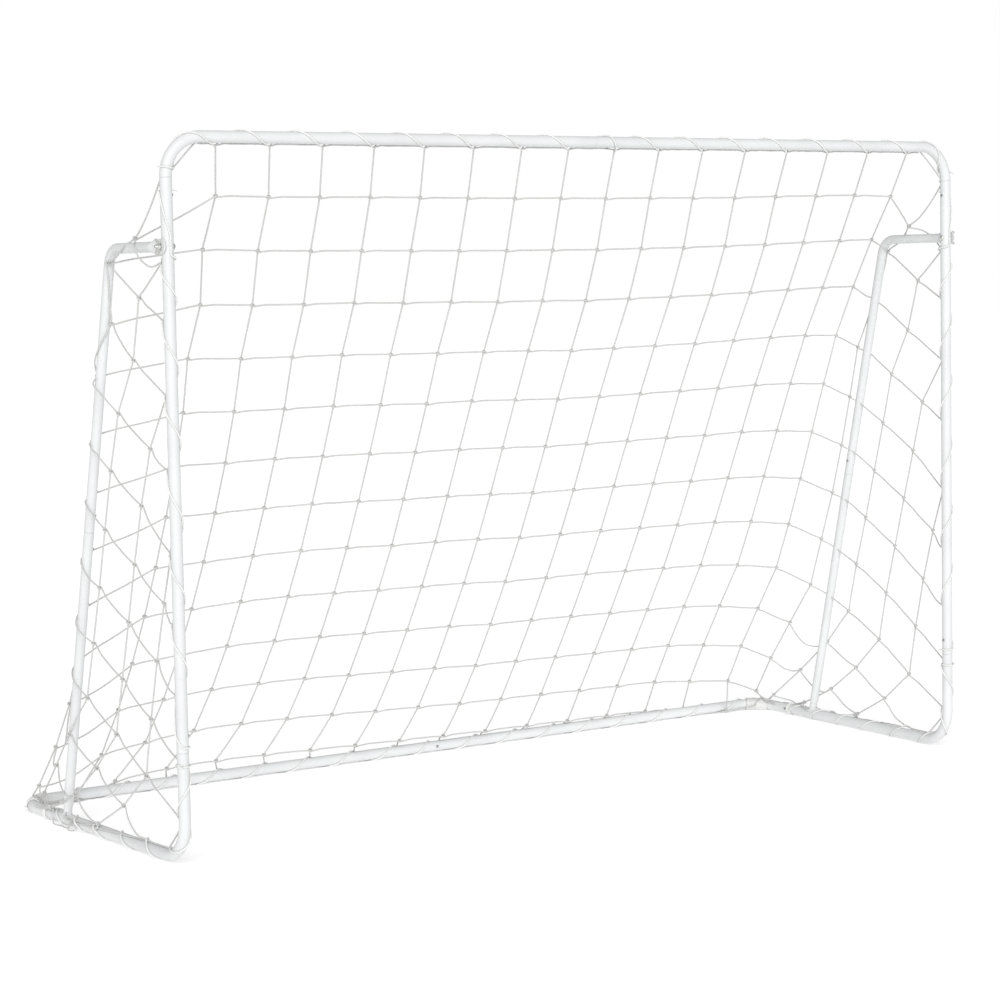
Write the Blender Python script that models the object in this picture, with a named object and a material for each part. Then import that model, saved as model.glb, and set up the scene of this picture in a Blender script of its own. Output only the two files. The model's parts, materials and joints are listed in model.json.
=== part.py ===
"""Knock-down tubular steel soccer goal: frame, braces, spring buttons, wing nuts, net and lacing.

Metres, +Z up. The mouth faces -Y and the net falls towards +Y. The origin is on the ground, in the
middle of the footprint. Every piece of one side is made by a function that takes side = -1 (left,
-X) or +1 (right, +X).
"""
from math import cos, pi, sin

import bmesh
import bpy
from mathutils import Vector

# ---- Driving dimensions ---------------------------------------------------------------------
MOUTH_WIDTH = 2.105      # between the centrelines of the posts
RISE = 1.470             # crossbar centreline above the ground bars' centrelines
DEPTH = 0.780            # front ground line to rear bar, centre to centre
REAR_SPLAY = 0.030       # how far each rear corner stands outside its post
TUBE_RADIUS = 0.0125     # main tube, 25 mm outside
WALL = 0.0012            # of every tube
CORNER_RADIUS = 0.080    # centreline radius of every main bend
BRACE_RADIUS = 0.011     # brace tube, 22 mm outside
ELBOW_RADIUS = 0.045     # centreline radius of a brace's elbow
CORD = 0.0036            # net and lacing cord

BRACE_ARM_RISE = 1.250   # brace arm above the ground bars' centrelines
BRACE_ELBOW_Y = 0.238    # elbow corner, behind the front plane
BRACE_FOOT_Y = 0.542     # foot on the ground bar, behind the front plane
BRACE_JOINT_RISE = 0.650
POST_JOINT_RISE = 0.223  # lower end of each post above the ground bars' centrelines
POST_JOINT_DROP = 0.082  # upper end of each post below the crossbar's centreline
REAR_JOINT_RUN = 0.100   # side joint, ahead of the rear bar's centreline

# ---- Fits -----------------------------------------------------------------------------------
GAP = 0.0003             # between pieces that touch
SPIGOT_LENGTH = 0.055    # how far a necked end reaches into its neighbour
NECK_LENGTH = 0.008      # bore taper behind a necked end
BUTTON_SETBACK = 0.035   # spring button, from the seam
BUTTON_RADIUS = 0.003
BUTTON_CROWN = 0.0018    # height of its rounded top
BUTTON_PROUD = 0.003     # how far a button stands out of its tube, and its travel
CLIP_SHEET = 0.0008      # spring steel strip
CLIP_LENGTH = 0.042
CLIP_WIDTH_RATIO = 0.72  # width of the strip over the radius of the bore it sits in
BOLT_RADIUS = 0.003      # M6
BOLT_HEAD_RADIUS = 0.0066
BOLT_HEAD_HEIGHT = 0.0036
BOLT_TAIL = 0.004        # thread showing past the wing nut
WASHER_RADIUS = 0.0072
WASHER_THICKNESS = 0.0012
NUT_BASE_RADIUS = 0.0058
NUT_CROWN_RADIUS = 0.0047
NUT_HUB_LENGTH = 0.0075
WING_THICKNESS = 0.0024
WING_OUTLINE = ((0.0006, 0.0027), (0.0006, 0.0052), (0.0040, 0.0135), (0.0085, 0.0165),
                (0.0115, 0.0152), (0.0110, 0.0102), (0.0071, 0.0042), (0.0071, 0.0027))
                         # (along the bolt from the nut's base, out from its axis)
FLAT_HALF_WIDTH = 0.016  # pressed end of a brace
FLAT_NOSE_WIDTH = 0.0096 # half its width at the very tip
FLAT_NOSE_LENGTH = 0.0056
FLAT_HALF_THICKNESS = 0.0013
FLAT_TIP = 0.016         # pressed end, ahead of the bolt
FLAT_BODY = 0.014        # pressed end, behind the bolt
FLAT_RUNOUT = 0.030      # length over which the pressed end becomes round
STUB_REACH = 0.050       # stub inside the brace
BRACE_FOOT_GAP = 0.020   # bare stub between ground bar and brace
SADDLE_REACH = 0.030     # half the length of the tools that shape the stub's foot
SADDLE_DEPTH = 0.004     # stub cut away up to here, above the ground bar's centreline

# ---- Net and lacing -------------------------------------------------------------------------
LACING_FIT = 0.0004      # wound cord off the tube's skin
LACING_BORE = TUBE_RADIUS + LACING_FIT
LACING_RADIUS = LACING_BORE + CORD
LACING_MARGIN = 0.005    # lacing starts this far past a bend
CLEAR_OF_BUTTON = 0.015
CLEAR_OF_BOLT = 0.030
CLEAR_OF_FOOT = 0.025
NET_THICKNESS = 0.0016
NET_CLEAR = 0.0345       # side nets, outside the posts' centrelines
NET_STANDOFF = 0.020     # net edge, from a tube's centreline
FOLD_Y = 0.275           # where a side net turns over the brace's elbow
FOLD_RISE = 1.270

# ---- Fineness -------------------------------------------------------------------------------
SIDES = 16               # faces round a tube
BEND_STEPS = 6           # faces along a bend
DOME_STEPS = 3
FLAT_ENOUGH = 1e-6       # sines smaller than this count as 0
FINE_SIDES = 24          # round the tool that cuts a stub to its bar
PRESS_STAGES = (0.35, 0.7)   # shares of the run-out where a pressed end gets a ring

# ---- Places worked out from them ------------------------------------------------------------
HALF = MOUTH_WIDTH / 2
FRONT = -DEPTH / 2
REAR = DEPTH / 2
GROUND = LACING_RADIUS   # ground bars' centrelines; the lacing under them touches the ground
TOP = GROUND + RISE
ARM = GROUND + BRACE_ARM_RISE
SPIGOT_RADIUS = TUBE_RADIUS - WALL - GAP
BRACE_SPIGOT_RADIUS = BRACE_RADIUS - WALL - GAP
PLATE_X = HALF + TUBE_RADIUS + GAP + FLAT_HALF_THICKNESS
FOOT_X = HALF + REAR_SPLAY * BRACE_FOOT_Y / DEPTH
RIGHT = Vector((1, 0, 0))
BACK = Vector((0, 1, 0))
UP = Vector((0, 0, 1))


# ---- Materials ------------------------------------------------------------------------------
def paint(name, colour, roughness, metallic):
    material = bpy.data.materials.new(name)
    material.use_nodes = True
    shader = material.node_tree.nodes["Principled BSDF"]
    shader.inputs["Base Color"].default_value = (*colour, 1.0)
    shader.inputs["Roughness"].default_value = roughness
    shader.inputs["Metallic"].default_value = metallic
    return material


# ---- Mesh helpers ---------------------------------------------------------------------------
def add_object(name, mesh_data, material):
    """Closed mesh from a bmesh, faces turned outwards, smooth except at real edges."""
    bmesh.ops.recalc_face_normals(mesh_data, faces=mesh_data.faces)
    mesh = bpy.data.meshes.new(name)
    mesh_data.to_mesh(mesh)
    mesh_data.free()
    mesh.shade_smooth()
    mesh.set_sharp_from_angle(angle=pi / 5)
    if material:
        mesh.materials.append(material)
    item = bpy.data.objects.new(name, mesh)
    bpy.context.scene.collection.objects.link(item)
    return item


def rounded_path(corners, radius):
    """Polyline through the corners, with each inner corner replaced by an arc."""
    points = [corners[0]]
    for before, corner, after in zip(corners, corners[1:], corners[2:]):
        leg_in = (before - corner).normalized()
        leg_out = (after - corner).normalized()
        half_angle = leg_in.angle(leg_out) / 2
        setback = radius * cos(half_angle) / sin(half_angle)
        centre = corner + (leg_in + leg_out).normalized() * radius / sin(half_angle)
        start = (corner + leg_in * setback - centre).normalized()
        end = (corner + leg_out * setback - centre).normalized()
        for step in range(BEND_STEPS + 1):
            points.append(centre + start.slerp(end, step / BEND_STEPS) * radius)
    points.append(corners[-1])
    return points


def path_frames(points, normal):
    """Tangent, normal and binormal at each point, carried along without twist."""
    frames = []
    for index in range(len(points)):
        before = points[max(index - 1, 0)]
        after = points[min(index + 1, len(points) - 1)]
        tangent = (after - before).normalized()
        normal = (normal - tangent * normal.dot(tangent)).normalized()
        frames.append((tangent, normal, tangent.cross(normal)))
    return frames


def section_ring(mesh_data, centre, normal, binormal, width, thickness, squareness):
    """Ring of vertices: round at squareness 0, a flat bar with thin edges at 1."""
    ring = []
    for index in range(SIDES):
        angle = 2 * pi * index / SIDES
        across = sin(angle)
        if abs(across) > FLAT_ENOUGH:
            across = (1 if across > 0 else -1) * abs(across) ** (1 - squareness)
        offset = normal * (width * cos(angle)) + binormal * (thickness * across)
        ring.append(mesh_data.verts.new(centre + offset))
    return ring


def join_rings(mesh_data, ring_a, ring_b):
    for index in range(len(ring_a)):
        after = (index + 1) % len(ring_a)
        mesh_data.faces.new((ring_a[index], ring_a[after], ring_b[after], ring_b[index]))


def straight_tube(name, start, end, outer, inner, normal, material):
    """Open-ended straight tube or sleeve."""
    return hollow_tube(name, [start, end], outer, outer - inner, normal, material)


def hollow_tube(name, points, outer, wall, normal, material, neck_start=0.0, neck_end=0.0):
    """Open-ended tube along points. A neck radius makes that end a spigot beyond the path."""
    frames = path_frames(points, normal)
    first_tangent, last_tangent = frames[0][0], frames[-1][0]
    skin = [(point, frame, outer) for point, frame in zip(points, frames)]
    bore = [(point, frame, outer - wall) for point, frame in zip(points, frames)]
    if neck_start:
        tip = points[0] - first_tangent * SPIGOT_LENGTH
        skin[:0] = [(tip, frames[0], neck_start), (points[0], frames[0], neck_start)]
        behind = points[0] + first_tangent * NECK_LENGTH
        bore[:1] = [(tip, frames[0], neck_start - wall), (points[0], frames[0], neck_start - wall),
                    (behind, frames[0], outer - wall)]
    if neck_end:
        tip = points[-1] + last_tangent * SPIGOT_LENGTH
        skin += [(points[-1], frames[-1], neck_end), (tip, frames[-1], neck_end)]
        behind = points[-1] - last_tangent * NECK_LENGTH
        bore[-1:] = [(behind, frames[-1], outer - wall), (points[-1], frames[-1], neck_end - wall),
                     (tip, frames[-1], neck_end - wall)]
    mesh_data = bmesh.new()
    rings = [section_ring(mesh_data, point, frame[1], frame[2], radius, radius, 0)
             for point, frame, radius in skin + bore[::-1]]
    for ring, following in zip(rings, rings[1:] + rings[:1]):
        join_rings(mesh_data, ring, following)
    return add_object(name, mesh_data, material)


def turned(name, profile, origin, axis, material, sides=SIDES):
    """Solid of revolution. profile lists (distance along axis, radius) between its two poles."""
    axis = axis.normalized()
    across = axis.orthogonal().normalized()
    mesh_data = bmesh.new()
    rings = []
    for along, radius in profile:
        centre = origin + axis * along
        ring = []
        for index in range(sides):
            angle = 2 * pi * index / sides
            offset = across * cos(angle) + axis.cross(across) * sin(angle)
            ring.append(mesh_data.verts.new(centre + offset * radius))
        rings.append(ring)
    for ring, following in zip(rings, rings[1:]):
        join_rings(mesh_data, ring, following)
    mesh_data.faces.new(rings[0])
    mesh_data.faces.new(rings[-1])
    return add_object(name, mesh_data, material)


def extruded(name, outline, depth, material):
    """Flat outline of points, pushed both ways along the depth vector."""
    mesh_data = bmesh.new()
    front = [mesh_data.verts.new(point - depth / 2) for point in outline]
    back = [mesh_data.verts.new(point + depth / 2) for point in outline]
    mesh_data.faces.new(front)
    mesh_data.faces.new(back)
    join_rings(mesh_data, front, back)
    return add_object(name, mesh_data, material)


def combine(item, tool, operation):
    """Boolean with a hidden tool object."""
    tool.hide_render = True
    tool.display_type = "WIRE"
    modifier = item.modifiers.new(tool.name, "BOOLEAN")
    modifier.operation = operation
    modifier.solver = "EXACT"
    modifier.object = tool


def drill(item, name, origin, axis, start, end, radius):
    combine(item, turned(name, [(start, radius), (end, radius)], origin, axis, None), "DIFFERENCE")


def dome(base, radius, height):
    """Rounded end of a turned profile, from its rim at base to a small flat at its pole."""
    profile = []
    for step in range(DOME_STEPS + 1):
        angle = pi / 2 * step / (DOME_STEPS + 0.4)
        profile.append((base + height * sin(angle), radius * cos(angle)))
    return profile


# ---- Spring buttons -------------------------------------------------------------------------
def spring_button(name, seat, along, outward, tube_radius, bore_radius, tubes, material):
    """Button riveted to a folded spring strip inside a joint, and its hole through both tubes."""
    near = bore_radius - BUTTON_PROUD + CLIP_SHEET / 2
    far = -bore_radius + BUTTON_PROUD + 2 * CLIP_SHEET

    def at(run, height):
        return seat + along * run + outward * height

    half = CLIP_LENGTH / 2
    middle = (near + far) / 2
    outline = [at(-half, near - CLIP_SHEET), at(half, near - CLIP_SHEET),
               at(half + CLIP_SHEET, middle), at(half, far + CLIP_SHEET),
               at(-half, far + CLIP_SHEET), at(-half, far), at(half, far),
               at(half + 2 * CLIP_SHEET, middle), at(half, near), at(-half, near)]
    sideways = along.cross(outward).normalized() * (CLIP_WIDTH_RATIO * bore_radius)
    clip = extruded(name, outline, sideways, material)
    profile = [(near - CLIP_SHEET / 2, BUTTON_RADIUS)]
    profile += dome(tube_radius + BUTTON_PROUD - BUTTON_CROWN, BUTTON_RADIUS, BUTTON_CROWN)
    combine(clip, turned(name + "_nose", profile, seat, outward, material), "UNION")
    for tube in tubes:
        drill(tube, f"{name}_hole_{tube.name}", seat, outward, near + CLIP_SHEET,
              tube_radius + 2 * BUTTON_PROUD, BUTTON_RADIUS + GAP)
    return clip


# ---- Frame tubes ----------------------------------------------------------------------------
def side_name(side):
    return "left" if side < 0 else "right"


def front_corner(side, height):
    return Vector((side * HALF, FRONT, height))


def rear_corner(side):
    return Vector((side * (HALF + REAR_SPLAY), REAR, GROUND))


def side_direction(side):
    return (rear_corner(side) - front_corner(side, GROUND)).normalized()


def crossbar_half(side, material):
    """Half the crossbar and its corner bend, necked where it enters the post."""
    middle = Vector((side * GAP / 2, FRONT, TOP))
    end = front_corner(side, TOP - POST_JOINT_DROP)
    path = rounded_path([middle, front_corner(side, TOP), end], CORNER_RADIUS)
    middle_neck = SPIGOT_RADIUS if side < 0 else 0.0
    return hollow_tube(f"{side_name(side)}_crossbar_tube", path, TUBE_RADIUS, WALL, UP, material,
                       middle_neck, SPIGOT_RADIUS)


def post(side, material):
    low = front_corner(side, GROUND + POST_JOINT_RISE + GAP)
    high = front_corner(side, TOP - POST_JOINT_DROP - GAP)
    tube = hollow_tube(f"{side_name(side)}_post", [low, high], TUBE_RADIUS, WALL, BACK, material)
    drill(tube, f"{tube.name}_bolt_hole", front_corner(side, ARM), RIGHT, -2 * TUBE_RADIUS,
          2 * TUBE_RADIUS, BOLT_RADIUS + GAP)
    return tube


def side_base(side, material):
    """Lower front bend and side ground bar, necked where it enters the post."""
    start = front_corner(side, GROUND + POST_JOINT_RISE)
    end = rear_corner(side) - side_direction(side) * (REAR_JOINT_RUN + GAP)
    path = rounded_path([start, front_corner(side, GROUND), end], CORNER_RADIUS)
    return hollow_tube(f"{side_name(side)}_side_base", path, TUBE_RADIUS, WALL, BACK, material,
                       SPIGOT_RADIUS, 0.0)


def rear_half(side, material):
    """Half the rear bar and its corner bend, necked where it enters the side base."""
    middle = Vector((side * GAP / 2, REAR, GROUND))
    end = rear_corner(side) - side_direction(side) * REAR_JOINT_RUN
    path = rounded_path([middle, rear_corner(side), end], CORNER_RADIUS)
    middle_neck = SPIGOT_RADIUS if side < 0 else 0.0
    return hollow_tube(f"{side_name(side)}_rear_bar", path, TUBE_RADIUS, WALL, UP, material,
                       middle_neck, SPIGOT_RADIUS)


# ---- Braces ---------------------------------------------------------------------------------
def brace_corners(side):
    tip = Vector((side * PLATE_X, FRONT - FLAT_TIP, ARM))
    elbow = Vector((side * PLATE_X, FRONT + BRACE_ELBOW_Y, ARM))
    foot = Vector((side * FOOT_X, FRONT + BRACE_FOOT_Y, GROUND))
    return tip, elbow, foot


def brace_point(side, rise):
    """Point on a brace's lower run, at a height above the ground bars' centrelines."""
    _, elbow, foot = brace_corners(side)
    return foot + (elbow - foot) * (rise / BRACE_ARM_RISE)


def brace_upper(side, material):
    """Pressed end, arm, elbow and upper run: closed at the pressed end, open at the joint."""
    tip, elbow, _ = brace_corners(side)
    bolt = tip + BACK * FLAT_TIP
    flat_end = bolt + BACK * FLAT_BODY
    round_start = flat_end + BACK * FLAT_RUNOUT
    run = rounded_path([round_start, elbow, brace_point(side, BRACE_JOINT_RISE)], ELBOW_RADIUS)
    pressed = [(tip, FLAT_NOSE_WIDTH, FLAT_HALF_THICKNESS, 1.0),
               (tip + BACK * FLAT_NOSE_LENGTH, FLAT_HALF_WIDTH, FLAT_HALF_THICKNESS, 1.0),
               (flat_end, FLAT_HALF_WIDTH, FLAT_HALF_THICKNESS, 1.0)]
    for step in PRESS_STAGES:
        width = FLAT_HALF_WIDTH + (BRACE_RADIUS - FLAT_HALF_WIDTH) * step
        thickness = FLAT_HALF_THICKNESS + (BRACE_RADIUS - FLAT_HALF_THICKNESS) * step
        pressed.append((flat_end + BACK * FLAT_RUNOUT * step, width, thickness, 1 - step))
    mesh_data = bmesh.new()
    sideways = BACK.cross(UP)
    rings = [section_ring(mesh_data, centre, UP, sideways, width, thickness, squareness)
             for centre, width, thickness, squareness in pressed]
    frames = path_frames(run, UP)
    skin, bore = ([section_ring(mesh_data, point, frame[1], frame[2], radius, radius, 0)
                   for point, frame in zip(run, frames)]
                  for radius in (BRACE_RADIUS, BRACE_RADIUS - WALL))
    rings += skin + bore[::-1]
    for ring, following in zip(rings, rings[1:]):
        join_rings(mesh_data, ring, following)
    mesh_data.faces.new(rings[0])
    mesh_data.faces.new(rings[-1])
    tube = add_object(f"{side_name(side)}_brace_upper", mesh_data, material)
    drill(tube, f"{tube.name}_bolt_hole", bolt, RIGHT, -TUBE_RADIUS, TUBE_RADIUS, BOLT_RADIUS + GAP)
    return tube


def brace_lower(side, material):
    """Lower run: necked upwards into the upper piece, slipped over the stub at its foot."""
    seam = BRACE_JOINT_RISE - GAP
    low = TUBE_RADIUS + BRACE_FOOT_GAP
    points = [brace_point(side, low), brace_point(side, seam)]
    return hollow_tube(f"{side_name(side)}_brace_lower", points, BRACE_RADIUS, WALL, BACK, material,
                       0.0, BRACE_SPIGOT_RADIUS)


def brace_stub(side, material):
    """Short stub standing on the ground bar, with its lower end cut to the bar's curve."""
    points = [brace_point(side, 0), brace_point(side, TUBE_RADIUS + BRACE_FOOT_GAP + STUB_REACH)]
    stub = hollow_tube(f"{side_name(side)}_brace_stub", points, BRACE_SPIGOT_RADIUS, WALL, BACK, material)
    foot = brace_point(side, 0)
    along = side_direction(side)
    profile = [(end, TUBE_RADIUS + 2 * GAP) for end in (-SADDLE_REACH, SADDLE_REACH)]
    saddle = turned(f"{stub.name}_saddle", profile, foot, along, None, FINE_SIDES)
    corners = [(-SADDLE_REACH, -SADDLE_REACH), (SADDLE_REACH, -SADDLE_REACH),
               (SADDLE_REACH, SADDLE_DEPTH), (-SADDLE_REACH, SADDLE_DEPTH)]
    below = extruded(f"{stub.name}_below", [foot + along * run + UP * rise for run, rise in corners],
                     RIGHT * (2 * SADDLE_REACH), None)
    combine(stub, saddle, "DIFFERENCE")
    combine(stub, below, "DIFFERENCE")
    return stub


# ---- Bolts, washers and wing nuts -----------------------------------------------------------
def fasteners(side, material):
    """Round-head bolt from inside the post, washer and wing nut outside the pressed end."""
    name = side_name(side)
    outward = Vector((side, 0, 0))
    origin = front_corner(side, ARM)
    head = -TUBE_RADIUS - GAP
    washer_start = PLATE_X - HALF + FLAT_HALF_THICKNESS + GAP
    nut_start = washer_start + WASHER_THICKNESS + GAP
    nut_end = nut_start + NUT_HUB_LENGTH
    crown = [(head - along, radius) for along, radius in dome(0, BOLT_HEAD_RADIUS, BOLT_HEAD_HEIGHT)]
    turned(f"{name}_brace_bolt", crown[::-1] + [(head, BOLT_RADIUS), (nut_end + BOLT_TAIL, BOLT_RADIUS)],
           origin, outward, material)
    straight_tube(f"{name}_washer", origin + outward * washer_start,
                  origin + outward * (washer_start + WASHER_THICKNESS), WASHER_RADIUS,
                  BOLT_RADIUS + GAP, UP, material)
    nut = turned(f"{name}_wing_nut", [(nut_start, NUT_BASE_RADIUS), (nut_end, NUT_CROWN_RADIUS)], origin,
                 outward, material)
    for wing, direction in (("upper", UP), ("lower", -UP)):
        outline = [origin + outward * (nut_start + along) + direction * reach
                   for along, reach in WING_OUTLINE]
        blade = extruded(f"{nut.name}_{wing}_wing", outline, BACK * WING_THICKNESS, material)
        combine(nut, blade, "UNION")
    drill(nut, f"{nut.name}_bore", origin, outward, 0, nut_end + 2 * BOLT_TAIL, BOLT_RADIUS + GAP)


# ---- Lacing and net -------------------------------------------------------------------------
def lacing(name, start, end, normal, material):
    """Sleeve of the outer size of the cord wound over one stretch of tube."""
    straight_tube(name, start, end, LACING_RADIUS, LACING_BORE, normal, material)


def bar_lacing(name, half_length, y, z, material):
    """Both sides of a bar's middle button, from bend to bend."""
    end = half_length - CORNER_RADIUS - LACING_MARGIN
    lacing(f"{name}_lacing_left", Vector((-end, y, z)),
           Vector((BUTTON_SETBACK - CLEAR_OF_BUTTON, y, z)), UP, material)
    lacing(f"{name}_lacing_right", Vector((BUTTON_SETBACK + CLEAR_OF_BUTTON, y, z)),
           Vector((end, y, z)), UP, material)


def post_lacing(side, material):
    """Below and above the brace's bolt."""
    bottom = GROUND + POST_JOINT_RISE + BUTTON_SETBACK + CLEAR_OF_BUTTON
    top = TOP - POST_JOINT_DROP - BUTTON_SETBACK - CLEAR_OF_BUTTON
    for part, start, end in (("lower", bottom, ARM - CLEAR_OF_BOLT), ("upper", ARM + CLEAR_OF_BOLT, top)):
        lacing(f"{side_name(side)}_post_lacing_{part}", front_corner(side, start), front_corner(side, end),
               BACK, material)


def base_lacing(side, material):
    """Ahead of and behind the brace's foot."""
    start = front_corner(side, GROUND)
    along = side_direction(side)
    length = (rear_corner(side) - start).length
    foot = BRACE_FOOT_Y * length / DEPTH
    button = length - REAR_JOINT_RUN - BUTTON_SETBACK
    name = f"{side_name(side)}_base_lacing"
    lacing(f"{name}_front", start + along * (CORNER_RADIUS + LACING_MARGIN),
           start + along * (foot - CLEAR_OF_FOOT), UP, material)
    lacing(f"{name}_rear", start + along * (foot + CLEAR_OF_FOOT),
           start + along * (button - CLEAR_OF_BUTTON), UP, material)


def back_net(material):
    """Flat sheet from the crossbar down to the rear bar."""
    slope = Vector((0, DEPTH, -RISE)).normalized()
    top = Vector((0, FRONT, TOP)) + slope * NET_STANDOFF
    bottom = Vector((0, REAR, GROUND)) - slope * NET_STANDOFF
    reach = Vector((HALF - CORNER_RADIUS - LACING_MARGIN, 0, 0))
    outline = [top - reach, top + reach, bottom + reach, bottom - reach]
    extruded("back_net", outline, slope.cross(RIGHT) * NET_THICKNESS, material)


def side_net(side, material):
    """Flat sheet outside the brace, from the post to the fold that leads down to the rear corner."""
    x = side * (HALF + NET_CLEAR)
    low = GROUND + NET_STANDOFF
    outline = [Vector((x, FRONT + run, height)) for run, height in (
        (NET_STANDOFF + TUBE_RADIUS, low), (DEPTH - NET_STANDOFF - TUBE_RADIUS, low),
        (FOLD_Y, GROUND + FOLD_RISE), (NET_STANDOFF + TUBE_RADIUS, TOP - NET_STANDOFF))]
    extruded(f"{side_name(side)}_side_net", outline, RIGHT * NET_THICKNESS, material)


# ---- The goal -------------------------------------------------------------------------------
def build():
    for item in list(bpy.data.objects):
        bpy.data.objects.remove(item)
    white = paint("frame_coat", (0.80, 0.81, 0.82), 0.34, 0.0)
    zinc = paint("zinc", (0.62, 0.62, 0.60), 0.38, 0.9)
    spring = paint("spring_steel", (0.30, 0.31, 0.33), 0.35, 0.9)
    cord = paint("net_cord", (0.86, 0.86, 0.85), 0.75, 0.0)

    crossbars = {side: crossbar_half(side, white) for side in (-1, 1)}
    rears = {side: rear_half(side, white) for side in (-1, 1)}
    for name, pair, y, z, facing in (("crossbar_button", crossbars, FRONT, TOP, -UP),
                                     ("rear_bar_button", rears, REAR, GROUND, -BACK)):
        spring_button(name, Vector((BUTTON_SETBACK, y, z)), RIGHT, facing, TUBE_RADIUS,
                      SPIGOT_RADIUS - WALL, pair.values(), spring)

    for side in (-1, 1):
        name = side_name(side)
        inward = Vector((-side, 0, 0))
        upright = post(side, white)
        base = side_base(side, white)
        upper = brace_upper(side, white)
        lower = brace_lower(side, white)
        brace_stub(side, white)
        fasteners(side, zinc)
        brace_run = (brace_corners(side)[1] - brace_corners(side)[2]).normalized()
        across_brace = (inward - brace_run * inward.dot(brace_run)).normalized()
        along = side_direction(side)
        across_base = (inward - along * inward.dot(along)).normalized()
        joints = (
            ("upper_post_button", front_corner(side, TOP - POST_JOINT_DROP - BUTTON_SETBACK), UP, inward,
             (upright, crossbars[side])),
            ("lower_post_button", front_corner(side, GROUND + POST_JOINT_RISE + BUTTON_SETBACK), -UP, inward,
             (upright, base)),
            ("base_button", rear_corner(side) - along * (REAR_JOINT_RUN + BUTTON_SETBACK), along,
             across_base, (base, rears[side])))
        for joint, seat, run, facing, tubes in joints:
            spring_button(f"{name}_{joint}", seat, run, facing, TUBE_RADIUS, SPIGOT_RADIUS - WALL, tubes,
                          spring)
        seat = brace_point(side, BRACE_JOINT_RISE) + brace_run * BUTTON_SETBACK
        spring_button(f"{name}_brace_button", seat, -brace_run, across_brace, BRACE_RADIUS,
                      BRACE_SPIGOT_RADIUS - WALL, (upper, lower), spring)
        post_lacing(side, cord)
        base_lacing(side, cord)
        side_net(side, cord)

    bar_lacing("crossbar", HALF, FRONT, TOP, cord)
    bar_lacing("rear_bar", HALF + REAR_SPLAY, REAR, GROUND, cord)
    back_net(cord)


build()
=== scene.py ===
"""Looks of the knock-down soccer goal: fine tubes, fittings, wound lacing and the hanging net.

Metres, +Z up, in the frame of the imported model. The mouth faces -Y. Functions that make the pieces
of one side take side = -1 (left, -X) or +1 (right, +X).
"""
import json
from math import atan2, ceil, cos, pi, radians, sin

import bmesh
import bpy
import numpy as np
from mathutils import Matrix, Vector


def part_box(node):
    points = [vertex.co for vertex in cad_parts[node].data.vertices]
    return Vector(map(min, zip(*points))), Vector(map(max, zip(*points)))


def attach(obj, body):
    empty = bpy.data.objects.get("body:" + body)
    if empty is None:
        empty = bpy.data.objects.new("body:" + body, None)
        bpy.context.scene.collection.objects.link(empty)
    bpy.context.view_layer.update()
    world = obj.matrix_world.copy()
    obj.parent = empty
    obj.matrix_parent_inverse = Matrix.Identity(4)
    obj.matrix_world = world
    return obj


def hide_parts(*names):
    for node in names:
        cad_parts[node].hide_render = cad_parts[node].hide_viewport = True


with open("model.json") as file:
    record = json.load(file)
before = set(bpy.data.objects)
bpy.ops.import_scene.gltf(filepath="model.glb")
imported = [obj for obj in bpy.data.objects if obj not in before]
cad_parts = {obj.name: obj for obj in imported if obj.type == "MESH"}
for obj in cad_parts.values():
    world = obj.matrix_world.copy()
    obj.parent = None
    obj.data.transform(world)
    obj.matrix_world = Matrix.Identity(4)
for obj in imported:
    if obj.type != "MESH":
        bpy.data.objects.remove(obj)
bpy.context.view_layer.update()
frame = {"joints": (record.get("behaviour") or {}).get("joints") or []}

# ---- Sizes shared with the CAD ---------------------------------------------------------------
WALL = 0.0012
GAP = 0.0003
CORNER_RADIUS = 0.080
REAR_SPLAY = 0.030
BRACE_RADIUS = 0.011
ELBOW_RADIUS = 0.045
BRACE_ELBOW_Y = 0.238
BRACE_FOOT_Y = 0.542
BRACE_JOINT_RISE = 0.650
REAR_JOINT_RUN = 0.100
SPIGOT_LENGTH = 0.055
NECK_LENGTH = 0.008
BUTTON_SETBACK = 0.035
BUTTON_RADIUS = 0.003
BUTTON_PROUD = 0.003
CLIP_SHEET = 0.0008
CLIP_LENGTH = 0.042
CLIP_WIDTH_RATIO = 0.72  # of the bore's radius
BOLT_RADIUS = 0.003
BOLT_HEAD_RADIUS = 0.0066
BOLT_HEAD_HEIGHT = 0.0036
BOLT_TAIL = 0.004
THREAD_PITCH = 0.001
THREAD_DEPTH = 0.00032
THREAD_STEPS = 8         # rings to one turn of the thread
WASHER_RADIUS = 0.0072
WASHER_THICKNESS = 0.0012
NUT_BASE_RADIUS = 0.0058
NUT_CROWN_RADIUS = 0.0047
NUT_HUB_LENGTH = 0.0075
NUT_VOXEL = 0.0004
WING_THICKNESS = 0.0024
WING_OUTLINE = ((0.0006, 0.0), (0.0006, 0.0052), (0.0022, 0.0095), (0.0040, 0.0132), (0.0064, 0.0157),
                (0.0090, 0.0165), (0.0112, 0.0154), (0.0116, 0.0128), (0.0106, 0.0100), (0.0086, 0.0074),
                (0.0071, 0.0046), (0.0071, 0.0))
FLAT_HALF_WIDTH = 0.016
FLAT_HALF_THICKNESS = 0.0013
FLAT_TIP = 0.016
FLAT_NOSE = 0.08         # of the tip's quarter turn, left blunt
FLAT_BODY = 0.014
FLAT_RUNOUT = 0.030
STUB_REACH = 0.050
BRACE_FOOT_GAP = 0.020
BEAD_RADIUS = 0.0019
BEAD_RIPPLES = 22
BEAD_STEPS = 176
CORD = 0.0036

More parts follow.
